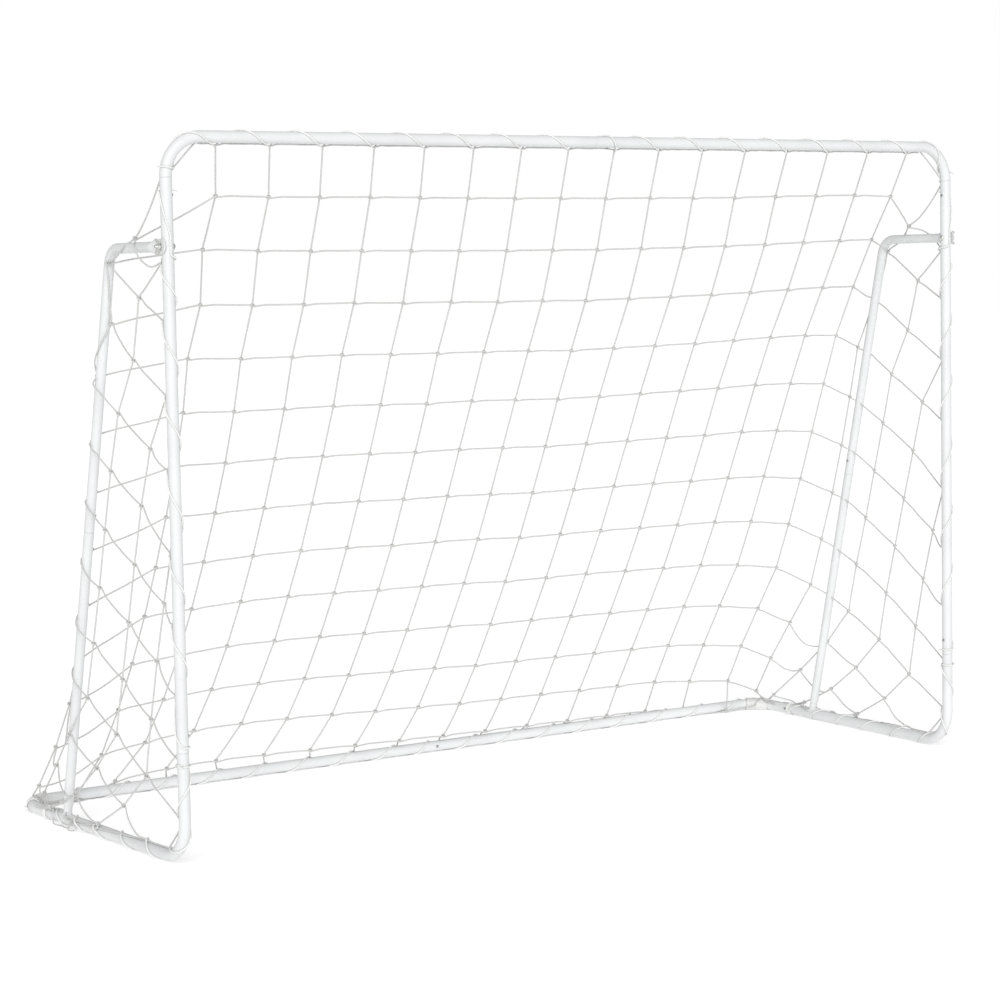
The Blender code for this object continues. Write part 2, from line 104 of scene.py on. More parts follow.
# ---- Places read from the frame --------------------------------------------------------------
post_low, post_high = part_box("right_post")
TUBE_RADIUS = (post_high.x - post_low.x) / 2
HALF = (post_high.x + post_low.x) / 2
FRONT = (post_high.y + post_low.y) / 2
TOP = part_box("right_crossbar_tube")[1].z - TUBE_RADIUS
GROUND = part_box("right_rear_bar")[0].z + TUBE_RADIUS
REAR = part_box("right_rear_bar")[1].y - TUBE_RADIUS
DEPTH = REAR - FRONT
RISE = TOP - GROUND
UPPER_SEAM = post_high.z
LOWER_SEAM = post_low.z
JOINTS = {joint["name"]: joint for joint in frame["joints"]}
ARM = JOINTS["right_wing_nut_turn"]["pos_m"][2]
PLATE_X = HALF + TUBE_RADIUS + GAP + FLAT_HALF_THICKNESS
FOOT_X = HALF + REAR_SPLAY * BRACE_FOOT_Y / DEPTH
SPIGOT_RADIUS = TUBE_RADIUS - WALL - GAP
BRACE_SPIGOT_RADIUS = BRACE_RADIUS - WALL - GAP

# ---- Fineness --------------------------------------------------------------------------------
SIDES = 48               # round a tube
BEND_STEPS = 20
DOME_STEPS = 9
CUTTER_SIDES = 32
CORD_SIDES = 7
CHAMFER = 0.0004
UP = Vector((0, 0, 1))
BACK = Vector((0, 1, 0))
ACROSS = Vector((1, 0, 0))
SEED = 11
random = np.random.default_rng(SEED)


# ---- Materials -------------------------------------------------------------------------------
class Shading:
    """One material's node tree, with short calls for the nodes used here."""

    def __init__(self, name, roughness, metallic):
        self.material = bpy.data.materials.new(name)
        self.material.use_nodes = True
        self.tree = self.material.node_tree
        self.shader = self.tree.nodes["Principled BSDF"]
        self.shader.inputs["Roughness"].default_value = roughness
        self.shader.inputs["Metallic"].default_value = metallic
        self.place = self.tree.nodes.new("ShaderNodeTexCoord").outputs["Object"]

    def link(self, source, target):
        self.tree.links.new(source, target)

    def noise(self, scale, detail=3.0, rough=0.5):
        texture = self.tree.nodes.new("ShaderNodeTexNoise")
        texture.inputs["Scale"].default_value = scale
        texture.inputs["Detail"].default_value = detail
        texture.inputs["Roughness"].default_value = rough
        self.link(self.place, texture.inputs["Vector"])
        return texture.outputs["Fac"]

    def cells(self, scale):
        texture = self.tree.nodes.new("ShaderNodeTexVoronoi")
        texture.inputs["Scale"].default_value = scale
        self.link(self.place, texture.inputs["Vector"])
        return texture.outputs["Color"]

    def spread(self, value, low, high, new_low, new_high):
        mapped = self.tree.nodes.new("ShaderNodeMapRange")
        for socket, number in zip(("From Min", "From Max", "To Min", "To Max"),
                                  (low, high, new_low, new_high)):
            mapped.inputs[socket].default_value = number
        self.link(value, mapped.inputs["Value"])
        return mapped.outputs["Result"]

    def maths(self, operation, first, second=None):
        step = self.tree.nodes.new("ShaderNodeMath")
        step.operation = operation
        for socket, value in zip(step.inputs, (first, second)):
            if isinstance(value, (int, float)):
                socket.default_value = value
            elif value is not None:
                self.link(value, socket)
        return step.outputs["Value"]

    def mixed(self, factor, first, second):
        mix = self.tree.nodes.new("ShaderNodeMix")
        mix.data_type = "RGBA"
        self.link(factor, mix.inputs["Factor"])
        for socket, value in ((mix.inputs["A"], first), (mix.inputs["B"], second)):
            if isinstance(value, tuple):
                socket.default_value = (*value, 1.0)
            else:
                self.link(value, socket)
        return mix.outputs["Result"]

    def colour(self, value):
        self.link(value, self.shader.inputs["Base Color"])

    def roughness(self, value):
        self.link(value, self.shader.inputs["Roughness"])

    def bump(self, height, strength, distance, under=None):
        relief = self.tree.nodes.new("ShaderNodeBump")
        relief.inputs["Strength"].default_value = strength
        relief.inputs["Distance"].default_value = distance
        self.link(height, relief.inputs["Height"])
        if under is not None:
            self.link(under, relief.inputs["Normal"])
        self.link(relief.outputs["Normal"], self.shader.inputs["Normal"])
        return relief.outputs["Normal"]


def powder_coat():
    """White powder coat: orange peel, faint clouding, rubbed patches and specks of dirt."""
    look = Shading("white_powder_coat", 0.36, 0.0)
    cloud = look.spread(look.noise(9.0), 0.35, 0.68, 0.0, 1.0)
    base = look.mixed(cloud, (0.66, 0.665, 0.67), (0.62, 0.625, 0.63))
    grime = look.spread(look.noise(70.0, 6.0, 0.65), 0.62, 0.74, 0.0, 0.35)
    base = look.mixed(grime, base, (0.52, 0.515, 0.50))
    look.colour(base)
    look.roughness(look.spread(look.noise(28.0, 4.0), 0.3, 0.7, 0.28, 0.46))
    look.bump(look.noise(620.0, 2.0), 0.22, 0.0006)
    look.shader.inputs["Specular IOR Level"].default_value = 0.35
    return look.material


def zinc_plate():
    look = Shading("zinc_plate", 0.35, 0.95)
    spangle = look.cells(900.0)
    base = look.mixed(look.spread(look.noise(260.0), 0.35, 0.65, 0.0, 1.0),
                      (0.60, 0.60, 0.58), (0.70, 0.70, 0.68))
    look.colour(base)
    look.roughness(look.spread(spangle, 0.0, 1.0, 0.26, 0.44))
    look.bump(look.noise(1400.0, 3.0), 0.18, 0.0003)
    return look.material


def spring_steel():
    look = Shading("blued_spring_steel", 0.35, 0.9)
    worn = look.spread(look.noise(420.0, 5.0), 0.45, 0.62, 0.0, 1.0)
    look.colour(look.mixed(worn, (0.26, 0.27, 0.29), (0.42, 0.43, 0.44)))
    look.roughness(look.spread(worn, 0.0, 1.0, 0.42, 0.26))
    look.bump(look.noise(1800.0, 2.0), 0.12, 0.0002)
    return look.material


def gray(value):
    """Faintly warm gray."""
    return value, value, value * 0.985


def twisted_cord(name, whiteness):
    """Three-strand white cord: the strands' grooves follow the cord's own length and girth, and its colour
    darkens into the grooves as painted shade.
    """
    strands, lay = 3, 0.009
    look = Shading(name, 0.6, 0.0)
    wrap = look.tree.nodes.new("ShaderNodeUVMap")
    wrap.uv_map = "girth_and_length"
    parts = look.tree.nodes.new("ShaderNodeSeparateXYZ")
    look.link(wrap.outputs["UV"], parts.inputs["Vector"])
    round_it = look.maths("MULTIPLY", parts.outputs["X"], strands * pi)
    along_it = look.maths("MULTIPLY", parts.outputs["Y"], strands * pi / lay)
    wave = look.maths("SINE", look.maths("SUBTRACT", round_it, along_it))
    strand = look.maths("POWER", look.maths("ABSOLUTE", wave), 0.7)
    tint = look.spread(look.noise(14.0, 4.0), 0.35, 0.7, 0.0, 1.0)
    fresh = look.mixed(tint, gray(whiteness), gray(whiteness * 0.90))
    # painted shade: the colour darkens into the grooves between the strands, on top of the bump
    shade = look.spread(strand, 0.0, 0.6, 0.0, 1.0)
    look.colour(look.mixed(shade, gray(whiteness * 0.68), fresh))
    fibre = look.bump(look.noise(5200.0, 2.0), 0.25, 0.0002)
    look.bump(strand, 0.9, 0.0007, fibre)
    look.shader.inputs["Sheen Weight"].default_value = 0.25
    look.shader.inputs["Sheen Roughness"].default_value = 0.5
    return look.material


def pale_floor():
    look = Shading("pale_floor", 0.8, 0.0)
    look.colour(look.mixed(look.noise(0.6, 2.0), (0.95, 0.95, 0.95), (0.97, 0.97, 0.97)))
    look.shader.inputs["Emission Color"].default_value = (1, 1, 1, 1)
    look.shader.inputs["Emission Strength"].default_value = FLOOR_GLOW
    return look.material


COAT = powder_coat()
ZINC = zinc_plate()
STEEL = spring_steel()
# Painted shade: the net's twine is a darker copy of the same white cord as the lacing, standing in for the
# shade on its thin cords.
SHADED_NET_TWINE = twisted_cord("net_twine", 0.60)
LACE = twisted_cord("lacing_twine", 0.84)


# ---- Mesh helpers ----------------------------------------------------------------------------
def side_name(side):
    return "left" if side < 0 else "right"


def new_piece(name, mesh, material, sharp_angle=34):
    mesh.name = name
    mesh.shade_smooth()
    mesh.set_sharp_from_angle(angle=radians(sharp_angle))
    mesh.materials.clear()
    mesh.materials.append(material)
    piece = bpy.data.objects.new(name, mesh)
    bpy.context.scene.collection.objects.link(piece)
    return piece


def settle(piece, body, slot, *nodes):
    """Hands a finished piece to the frame: its body and the nodes that it stands for. The slot is not used.
    """
    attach(piece, body)
    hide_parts(*nodes)
    return piece


def rounded_path(corners, radius):
    """Polyline through the corners, with each inner corner replaced by an arc."""
    points = [corners[0]]
    for before, corner, after in zip(corners, corners[1:], corners[2:]):
        leg_in = (before - corner).normalized()
        leg_out = (after - corner).normalized()
        half_angle = leg_in.angle(leg_out) / 2
        setback = radius * cos(half_angle) / sin(half_angle)
        centre = corner + (leg_in + leg_out).normalized() * radius / sin(half_angle)
        start = (corner + leg_in * setback - centre).normalized()
        end = (corner + leg_out * setback - centre).normalized()
        for step in range(BEND_STEPS + 1):
            points.append(centre + start.slerp(end, step / BEND_STEPS) * radius)
    points.append(corners[-1])
    return points


def path_frames(points, normal):
    """Tangent, normal and binormal at each point, carried along without twist."""
    points = np.asarray(points, float)
    tangents = np.empty_like(points)
    tangents[1:-1] = points[2:] - points[:-2]
    tangents[0] = points[1] - points[0]
    tangents[-1] = points[-1] - points[-2]
    tangents /= np.linalg.norm(tangents, axis=1)[:, None]
    normals = np.empty_like(points)
    normal = np.asarray(normal, float)
    for index, tangent in enumerate(tangents):
        normal = normal - tangent * normal.dot(tangent)
        normal = normal / np.linalg.norm(normal)
        normals[index] = normal
    return tangents, normals, np.cross(tangents, normals)


def skin(rings, closed):
    """Quads between rings of vertices. A closed skin joins its ends, an open one is capped."""
    rings = np.asarray(rings, float)
    count, sides = rings.shape[:2]
    verts = rings.reshape(-1, 3)
    faces = []
    for ring in range(count if closed else count - 1):
        first = ring * sides
        second = (ring + 1) % count * sides
        for index in range(sides):
            after = (index + 1) % sides
            faces.append((first + index, first + after, second + after, second + index))
    if not closed:
        faces.append(tuple(range(sides))[::-1])
        faces.append(tuple(range((count - 1) * sides, count * sides)))
    return verts, faces


def mesh_from(verts, faces):
    mesh = bpy.data.meshes.new("mesh")
    mesh.from_pydata([tuple(vert) for vert in verts], [], faces)
    data = bmesh.new()
    data.from_mesh(mesh)
    bmesh.ops.recalc_face_normals(data, faces=data.faces)
    data.to_mesh(mesh)
    data.free()
    return mesh


def ring_at(centre, normal, binormal, width, thickness=None, squareness=0.0, sides=SIDES):
    """Ring of points: round at squareness 0, a flat bar with thin edges at 1."""
    thickness = width if thickness is None else thickness
    angles = 2 * pi * np.arange(sides) / sides
    across = np.sin(angles)
    across = np.sign(np.round(across, 9)) * np.abs(across) ** max(1 - squareness, 0.02)
    return (np.asarray(centre, float) + np.outer(np.cos(angles) * width, normal)
            + np.outer(across * thickness, binormal))


def applied(piece):
    """Replaces a piece's mesh by what its modifiers make of it."""
    bpy.context.view_layer.update()
    graph = bpy.context.evaluated_depsgraph_get()
    mesh = bpy.data.meshes.new_from_object(piece.evaluated_get(graph))
    piece.modifiers.clear()
    piece.data = mesh
    return piece


def cut(piece, cutters):
    """Takes solids out of a piece, leaving no modifier behind."""
    for cutter in cutters:
        modifier = piece.modifiers.new("cut", "BOOLEAN")
        modifier.operation = "DIFFERENCE"
        modifier.solver = "EXACT"
        modifier.object = cutter
    applied(piece)
    for cutter in cutters:
        bpy.data.objects.remove(cutter)
    return piece


def turned(profile, origin, axis, sides=SIDES):
    """Mesh of revolution. profile lists (distance along axis, radius) between its two ends."""
    axis = Vector(axis).normalized()
    normal = axis.orthogonal().normalized()
    rings = [ring_at(origin + axis * along, normal, axis.cross(normal), radius, sides=sides)
             for along, radius in profile]
    return mesh_from(*skin(rings, False))


def cylinder(origin, axis, start, end, radius, sides=CUTTER_SIDES):
    """Solid cylinder to cut with, between two distances along an axis."""
    return new_piece("cutter", turned([(start, radius), (end, radius)], origin, axis, sides), COAT)


def dome(base, radius, height):
    """Rounded end of a turned profile, from its rim at base to near its pole."""
    turns = [pi / 2 * step / (DOME_STEPS + 0.2) for step in range(DOME_STEPS + 1)]
    return [(base + height * sin(turn), radius * cos(turn)) for turn in turns]


# ---- Frame tubes -----------------------------------------------------------------------------
def front_corner(side, height):
    return Vector((side * HALF, FRONT, height))


def rear_corner(side):
    return Vector((side * (HALF + REAR_SPLAY), REAR, GROUND))


def side_direction(side):
    return (rear_corner(side) - front_corner(side, GROUND)).normalized()


def button_facing(name):
    """Outward direction of a spring button: its joint presses it the other way."""
    return -Vector(JOINTS[name + "_press"]["axis"])


def tube_mesh(path, outer, normal, neck_start=0.0, neck_end=0.0):
    """Open-ended tube with eased rims. A neck's radius makes that end a spigot beyond the path."""
    path = np.asarray(path, float)
    tangents, normals, binormals = path_frames(path, normal)
    bore = outer - WALL

    def end_rings(index, outwards, neck):
        """(point, radius) going out along the skin and back in the bore, past one end."""
        edge = path[index]
        if not neck:
            return [(edge - outwards * CHAMFER, outer), (edge, outer - CHAMFER), (edge, bore + CHAMFER / 2),
                    (edge - outwards * CHAMFER / 2, bore)]
        tip = edge + outwards * SPIGOT_LENGTH
        inner = neck - WALL
        return [(edge - outwards * CHAMFER, outer), (edge, outer - CHAMFER), (edge, neck),
                (tip - outwards * CHAMFER * 2, neck), (tip, neck - CHAMFER), (tip, inner),
                (edge, inner), (edge - outwards * NECK_LENGTH, bore)]

    rings = [(path[index], index, outer) for index in range(1, len(path) - 1)]
    rings += [(point, len(path) - 1, radius) for point, radius in end_rings(-1, tangents[-1], neck_end)]
    rings += [(path[index], index, bore) for index in range(len(path) - 2, 0, -1)]
    rings += [(point, 0, radius) for point, radius in end_rings(0, -tangents[0], neck_start)[::-1]]
    return mesh_from(*skin([ring_at(point, normals[index], binormals[index], radius)
                            for point, index, radius in rings], True))


def with_stops(start, end, stops):
    """Straight run with extra points on both sides of each stop, so that a hole has short faces."""
    reach = 2.5 * BUTTON_RADIUS
    length = (end - start).length
    along = (end - start).normalized()
    marks = sorted(mark for stop in stops for mark in (stop - reach, stop + reach) if 0 < mark < length)
    return [start] + [start + along * mark for mark in marks] + [end]


def button_hole(seat, facing, outer):
    """Cutter for a spring button's hole through a tube's wall and the spigot inside it."""
    return cylinder(seat, facing, outer / 2, outer + 2 * BUTTON_PROUD, BUTTON_RADIUS + GAP)


def coated(name, mesh, cutters):
    """Coated piece of the frame with its holes cut, in place of its node."""
    blank = new_piece(name + "_piece", mesh, COAT)
    mesh = cut(blank, cutters).data
    bpy.data.objects.remove(blank)
    return settle(new_piece(name + "_piece", mesh, COAT), "root", "frame_coat", name)


def make_tube(name, path, outer, normal, necks, cutters):
    coated(name, tube_mesh(path, outer, normal, *necks), cutters)


def upper_seat(side):
    return front_corner(side, UPPER_SEAM + GAP - BUTTON_SETBACK)


def lower_seat(side):
    return front_corner(side, LOWER_SEAM - GAP + BUTTON_SETBACK)


def base_seat(side):
    return rear_corner(side) - side_direction(side) * (REAR_JOINT_RUN + BUTTON_SETBACK)


def brace_seat(side):
    return brace_point(side, BRACE_JOINT_RISE) + brace_run(side) * BUTTON_SETBACK


def middle_hole(name, seat_y, seat_z):
    """Cutter for the hole of a bar's middle button."""
    return button_hole(Vector((BUTTON_SETBACK, seat_y, seat_z)), button_facing(name), TUBE_RADIUS)


def crossbar_half(side):
    name = side_name(side)
    middle = Vector((side * GAP / 2, FRONT, TOP))
    end = front_corner(side, UPPER_SEAM + GAP)
    path = rounded_path([middle, front_corner(side, TOP), end], CORNER_RADIUS)
    holes = [middle_hole("crossbar_button", FRONT, TOP),
             button_hole(upper_seat(side), button_facing(f"{name}_upper_post_button"), TUBE_RADIUS)]
    make_tube(f"{name}_crossbar_tube", path, TUBE_RADIUS, UP,
              (SPIGOT_RADIUS if side < 0 else 0.0, SPIGOT_RADIUS), holes)


def post(side):
    name = side_name(side)
    low = front_corner(side, LOWER_SEAM)
    high = front_corner(side, UPPER_SEAM)
    stops = [BUTTON_SETBACK, ARM - LOWER_SEAM, UPPER_SEAM - LOWER_SEAM - BUTTON_SETBACK]
    holes = [button_hole(lower_seat(side), button_facing(f"{name}_lower_post_button"), TUBE_RADIUS),
             button_hole(upper_seat(side), button_facing(f"{name}_upper_post_button"), TUBE_RADIUS),
             cylinder(front_corner(side, ARM), ACROSS, -2 * TUBE_RADIUS, 2 * TUBE_RADIUS, BOLT_RADIUS + GAP)]
    make_tube(f"{name}_post", with_stops(low, high, stops), TUBE_RADIUS, BACK, (0.0, 0.0), holes)


def side_base(side):
    name = side_name(side)
    start = front_corner(side, LOWER_SEAM - GAP)
    end = rear_corner(side) - side_direction(side) * (REAR_JOINT_RUN + GAP)
    path = rounded_path([start, front_corner(side, GROUND), end], CORNER_RADIUS)
    holes = [button_hole(lower_seat(side), button_facing(f"{name}_lower_post_button"), TUBE_RADIUS),
             button_hole(base_seat(side), button_facing(f"{name}_base_button"), TUBE_RADIUS)]
    make_tube(f"{name}_side_base", path, TUBE_RADIUS, BACK, (SPIGOT_RADIUS, 0.0), holes)


def rear_half(side):
    name = side_name(side)
    middle = Vector((side * GAP / 2, REAR, GROUND))
    end = rear_corner(side) - side_direction(side) * REAR_JOINT_RUN
    path = rounded_path([middle, rear_corner(side), end], CORNER_RADIUS)
    holes = [middle_hole("rear_bar_button", REAR, GROUND),
             button_hole(base_seat(side), button_facing(f"{name}_base_button"), TUBE_RADIUS)]
    make_tube(f"{name}_rear_bar", path, TUBE_RADIUS, UP,
              (SPIGOT_RADIUS if side < 0 else 0.0, SPIGOT_RADIUS), holes)


# ---- Braces ----------------------------------------------------------------------------------
def brace_corners(side):
    tip = Vector((side * PLATE_X, FRONT - FLAT_TIP, ARM))
    elbow = Vector((side * PLATE_X, FRONT + BRACE_ELBOW_Y, ARM))
    foot = Vector((side * FOOT_X, FRONT + BRACE_FOOT_Y, GROUND))
    return tip, elbow, foot


def brace_point(side, rise):
    _, elbow, foot = brace_corners(side)
    return foot + (elbow - foot) * (rise / (ARM - GROUND))


def brace_run(side):
    _, elbow, foot = brace_corners(side)
    return (elbow - foot).normalized()


def brace_upper(side):
    """Pressed end swelling smoothly into the round arm, elbow and upper run."""
    name = f"{side_name(side)}_brace_upper"
    tip, elbow, _ = brace_corners(side)
    bolt = tip + BACK * FLAT_TIP
    flat_end = bolt + BACK * FLAT_BODY
    round_start = flat_end + BACK * FLAT_RUNOUT
    run = rounded_path([round_start, elbow, brace_point(side, BRACE_JOINT_RISE)], ELBOW_RADIUS)
    sideways = BACK.cross(UP)
    rings = []
    for turn in np.linspace(FLAT_NOSE, 1, 9) * pi / 2:
        rings.append(ring_at(tip + BACK * FLAT_TIP * (1 - cos(turn)), UP, sideways,
                             FLAT_HALF_WIDTH * sin(turn), FLAT_HALF_THICKNESS, 1.0))
    rings.append(ring_at(flat_end, UP, sideways, FLAT_HALF_WIDTH, FLAT_HALF_THICKNESS, 1.0))
    for step in np.linspace(0, 1, 14)[1:-1]:
        swell = step * step * (3 - 2 * step)
        width = FLAT_HALF_WIDTH + (BRACE_RADIUS - FLAT_HALF_WIDTH) * swell
        thickness = FLAT_HALF_THICKNESS + (BRACE_RADIUS - FLAT_HALF_THICKNESS) * swell
        rings.append(ring_at(flat_end + BACK * FLAT_RUNOUT * step, UP, sideways, width, thickness, 1 - swell))
    tangents, normals, binormals = path_frames(run, UP)
    bore = BRACE_RADIUS - WALL
    rings += [ring_at(point, normals[index], binormals[index], BRACE_RADIUS)
              for index, point in enumerate(run[:-1])]
    end = Vector(tangents[-1])
    for pull, radius in ((CHAMFER, BRACE_RADIUS), (0, BRACE_RADIUS - CHAMFER), (0, bore)):
        rings.append(ring_at(run[-1] - end * pull, normals[-1], binormals[-1], radius))
    rings += [ring_at(run[index], normals[index], binormals[index], bore)
              for index in range(len(run) - 2, -1, -1)]
    holes = [cylinder(bolt, ACROSS, -TUBE_RADIUS, TUBE_RADIUS, BOLT_RADIUS + GAP),
             button_hole(brace_seat(side), button_facing(f"{side_name(side)}_brace_button"), BRACE_RADIUS)]
    coated(name, mesh_from(*skin(rings, False)), holes)


def brace_lower(side):
    name = side_name(side)
    start = brace_point(side, TUBE_RADIUS + BRACE_FOOT_GAP)
    end = brace_point(side, BRACE_JOINT_RISE - GAP)
    hole = button_hole(brace_seat(side), button_facing(f"{name}_brace_button"), BRACE_RADIUS)
    make_tube(f"{name}_brace_lower", [start, (start + end) / 2, end], BRACE_RADIUS, BACK,
              (0.0, BRACE_SPIGOT_RADIUS), [hole])


def brace_stub(side):
    """Stub with its saddle cut, and the weld bead that runs round its foot."""
    name = f"{side_name(side)}_brace_stub"
    start = brace_point(side, 0)
    end = brace_point(side, TUBE_RADIUS + BRACE_FOOT_GAP + STUB_REACH)
    along = side_direction(side)
    saddle = cylinder(start, along, -3 * TUBE_RADIUS, 3 * TUBE_RADIUS, TUBE_RADIUS + 2 * GAP, SIDES)
    below = cylinder(start, -UP, -TUBE_RADIUS / 3, 3 * TUBE_RADIUS, 3 * TUBE_RADIUS)
    peg = tube_mesh([start, (start + end) / 2, end], BRACE_SPIGOT_RADIUS, BACK)
    stub = coated(name, peg, [saddle, below])
    bead = weld_bead(start, brace_run(side), along)
    bead.parent = stub
    bead.name = name + "_weld"


def weld_bead(base, stub_axis, bar_axis):
    """Rippled bead along the line where the stub meets the round bar."""
    normal = stub_axis.cross(bar_axis).normalized()
    binormal = stub_axis.cross(normal)
    rings = []
    for step in range(BEAD_STEPS):
        angle = 2 * pi * step / BEAD_STEPS
        outward = normal * cos(angle) + binormal * sin(angle)
        flat = outward * BRACE_SPIGOT_RADIUS
        flat -= bar_axis * flat.dot(bar_axis)
        rise = stub_axis - bar_axis * stub_axis.dot(bar_axis)
        half_b = flat.dot(rise)
        inside = flat.length_squared - TUBE_RADIUS ** 2
        reach = -half_b + (half_b ** 2 - rise.length_squared * inside) ** 0.5
        point = base + outward * BRACE_SPIGOT_RADIUS + stub_axis * (reach / rise.length_squared)
        radius = BEAD_RADIUS * (1 + 0.16 * sin(BEAD_RIPPLES * angle))
        rings.append(ring_at(point, outward, stub_axis, radius, sides=12))
    return new_piece("weld", mesh_from(*skin(rings, True)), COAT, 80)


# ---- Spring buttons --------------------------------------------------------------------------
def spring_button(name, seat, along, tube_radius, bore_radius):
    """Button riveted to a folded spring strip inside a joint."""
    outward = button_facing(name)
    near = bore_radius - BUTTON_PROUD + CLIP_SHEET / 2
    far = -bore_radius + BUTTON_PROUD + 2 * CLIP_SHEET
    half = CLIP_LENGTH / 2
    middle = (near + far) / 2
    bend = (near - far) / 2
    turns = np.linspace(0, pi, 9)[1:-1]
    outline = [(-half, near - CLIP_SHEET), (half, near - CLIP_SHEET)]
    inner = [(half + (bend - CLIP_SHEET) * sin(turn), middle + (bend - CLIP_SHEET) * cos(turn))
             for turn in turns]
    outer = [(half + bend * 0.55 * sin(turn), middle + bend * cos(turn)) for turn in turns]
    inner = [(half + (run - half) * 0.4, height) for run, height in inner]
    outline += inner + [(half, far + CLIP_SHEET), (-half, far + CLIP_SHEET), (-half, far), (half, far)]
    outline += outer[::-1] + [(half, near), (-half, near)]
    sideways = along.cross(outward).normalized() * (bore_radius * CLIP_WIDTH_RATIO / 2)
    rings = [[seat + along * run + outward * height + sideways * turn for run, height in outline]
             for turn in (-1, 1)]
    strip = new_piece("strip", mesh_from(*skin(rings, False)), STEEL)
    proud = tube_radius + BUTTON_PROUD
    crown = BUTTON_RADIUS * 0.6
    shank = BUTTON_RADIUS * 0.75
    rivet = [(near - CLIP_SHEET * 1.9, BUTTON_RADIUS * 0.55), (near - CLIP_SHEET * 1.5, shank),
             (near - CLIP_SHEET / 2, shank), (near - CLIP_SHEET / 2, BUTTON_RADIUS)]
    profile = rivet + dome(proud - crown, BUTTON_RADIUS, crown)
    nose = new_piece("nose", turned(profile, seat, outward, CUTTER_SIDES), STEEL)
    union = strip.modifiers.new("rivet", "BOOLEAN")
    union.operation = "UNION"
    union.solver = "EXACT"
    union.object = nose
    mesh = applied(strip).data
    for tool in (strip, nose):
        bpy.data.objects.remove(tool)
    settle(new_piece(name + "_piece", mesh, STEEL), name, "spring_steel", name)


def spring_buttons():
    bore = SPIGOT_RADIUS - WALL
    spring_button("crossbar_button", Vector((BUTTON_SETBACK, FRONT, TOP)), ACROSS, TUBE_RADIUS, bore)
    spring_button("rear_bar_button", Vector((BUTTON_SETBACK, REAR, GROUND)), ACROSS, TUBE_RADIUS, bore)
    for side in (-1, 1):
        name = side_name(side)
        spring_button(f"{name}_upper_post_button", upper_seat(side), UP, TUBE_RADIUS, bore)
        spring_button(f"{name}_lower_post_button", lower_seat(side), -UP, TUBE_RADIUS, bore)
        spring_button(f"{name}_base_button", base_seat(side), side_direction(side), TUBE_RADIUS, bore)
        spring_button(f"{name}_brace_button", brace_seat(side), -brace_run(side), BRACE_RADIUS,
                      BRACE_SPIGOT_RADIUS - WALL)


# ---- Bolts, washers and wing nuts ------------------------------------------------------------
def bolt(side, origin, outward, head, nut_end):
    """Round-head bolt with a rolled thread from the plate to its tip."""
    name = f"{side_name(side)}_brace_bolt"
    normal = UP
    binormal = outward.cross(normal)
    crown = [(head - along, radius)
             for along, radius in dome(CHAMFER, BOLT_HEAD_RADIUS, BOLT_HEAD_HEIGHT - CHAMFER)]
    ease = CHAMFER / 2
    profile = crown[::-1] + [(head - ease, BOLT_HEAD_RADIUS), (head, BOLT_HEAD_RADIUS - ease),
                             (head, BOLT_RADIUS), (TUBE_RADIUS, BOLT_RADIUS)]
    rings = [ring_at(origin + outward * along, normal, binormal, radius) for along, radius in profile]
    tip = nut_end + BOLT_TAIL
    angles = 2 * pi * np.arange(SIDES) / SIDES
    count = ceil((tip - TUBE_RADIUS) / THREAD_PITCH * THREAD_STEPS)
    for step in range(1, count + 1):
        along = TUBE_RADIUS + (tip - TUBE_RADIUS) * step / count
        phase = (along / THREAD_PITCH - angles / (2 * pi)) % 1
        ridge = 1 - np.abs(2 * phase - 1)
        fade = min(1, (tip - along) / THREAD_PITCH)
        radius = BOLT_RADIUS - THREAD_DEPTH * (1 - ridge) - THREAD_DEPTH * 0.8 * (1 - fade)
        rings.append(np.array(origin + outward * along) + np.outer(np.cos(angles) * radius, normal)
                     + np.outer(np.sin(angles) * radius, binormal))
    settle(new_piece(name + "_piece", mesh_from(*skin(rings, False)), ZINC, 50), "root", "zinc", name)


def washer(side, origin, outward, start):
    name = f"{side_name(side)}_washer"
    ease = GAP / 2
    bore = BOLT_RADIUS + GAP
    end = start + WASHER_THICKNESS
    profile = [(start, bore), (start, WASHER_RADIUS - ease), (start + ease, WASHER_RADIUS),
               (end - ease, WASHER_RADIUS), (end, WASHER_RADIUS - ease), (end, bore)]
    rings = [ring_at(origin + outward * along, UP, outward.cross(UP), radius) for along, radius in profile]
    settle(new_piece(name + "_piece", mesh_from(*skin(rings, True)), ZINC), "root", "zinc", name)


def wing_nut(side, origin, outward, start):
    """Cast wing nut: hub and two wings run together with soft fillets, then bored."""
    name = f"{side_name(side)}_wing_nut"
    end = start + NUT_HUB_LENGTH
    data = bmesh.new()
    hub = turned([(start, NUT_BASE_RADIUS), (start + 0.001, NUT_BASE_RADIUS), (end, NUT_CROWN_RADIUS)],
                 origin, outward)
    data.from_mesh(hub)
    for wing in (-1, 1):
        middle = [origin + outward * (start + along) + UP * (wing * reach) for along, reach in WING_OUTLINE]
        rings = [[point + BACK * (WING_THICKNESS * turn / 2) for point in middle] for turn in (-1, 1)]
        data.from_mesh(mesh_from(*skin(rings, False)))
    mesh = bpy.data.meshes.new("mesh")
    data.to_mesh(mesh)
    data.free()
    cast = new_piece("cast", mesh, ZINC)
    remesh = cast.modifiers.new("cast", "REMESH")
    remesh.mode = "VOXEL"
    remesh.voxel_size = NUT_VOXEL
    smooth = cast.modifiers.new("fillets", "SMOOTH")
    smooth.factor = 0.5
    smooth.iterations = 4
    applied(cast)
    cut(cast, [cylinder(origin, outward, start - 0.002, end + 2 * BOLT_TAIL, BOLT_RADIUS + GAP, 40)])
    mesh = cast.data
    bpy.data.objects.remove(cast)
    settle(new_piece(name + "_piece", mesh, ZINC, 50), name, "zinc", name)


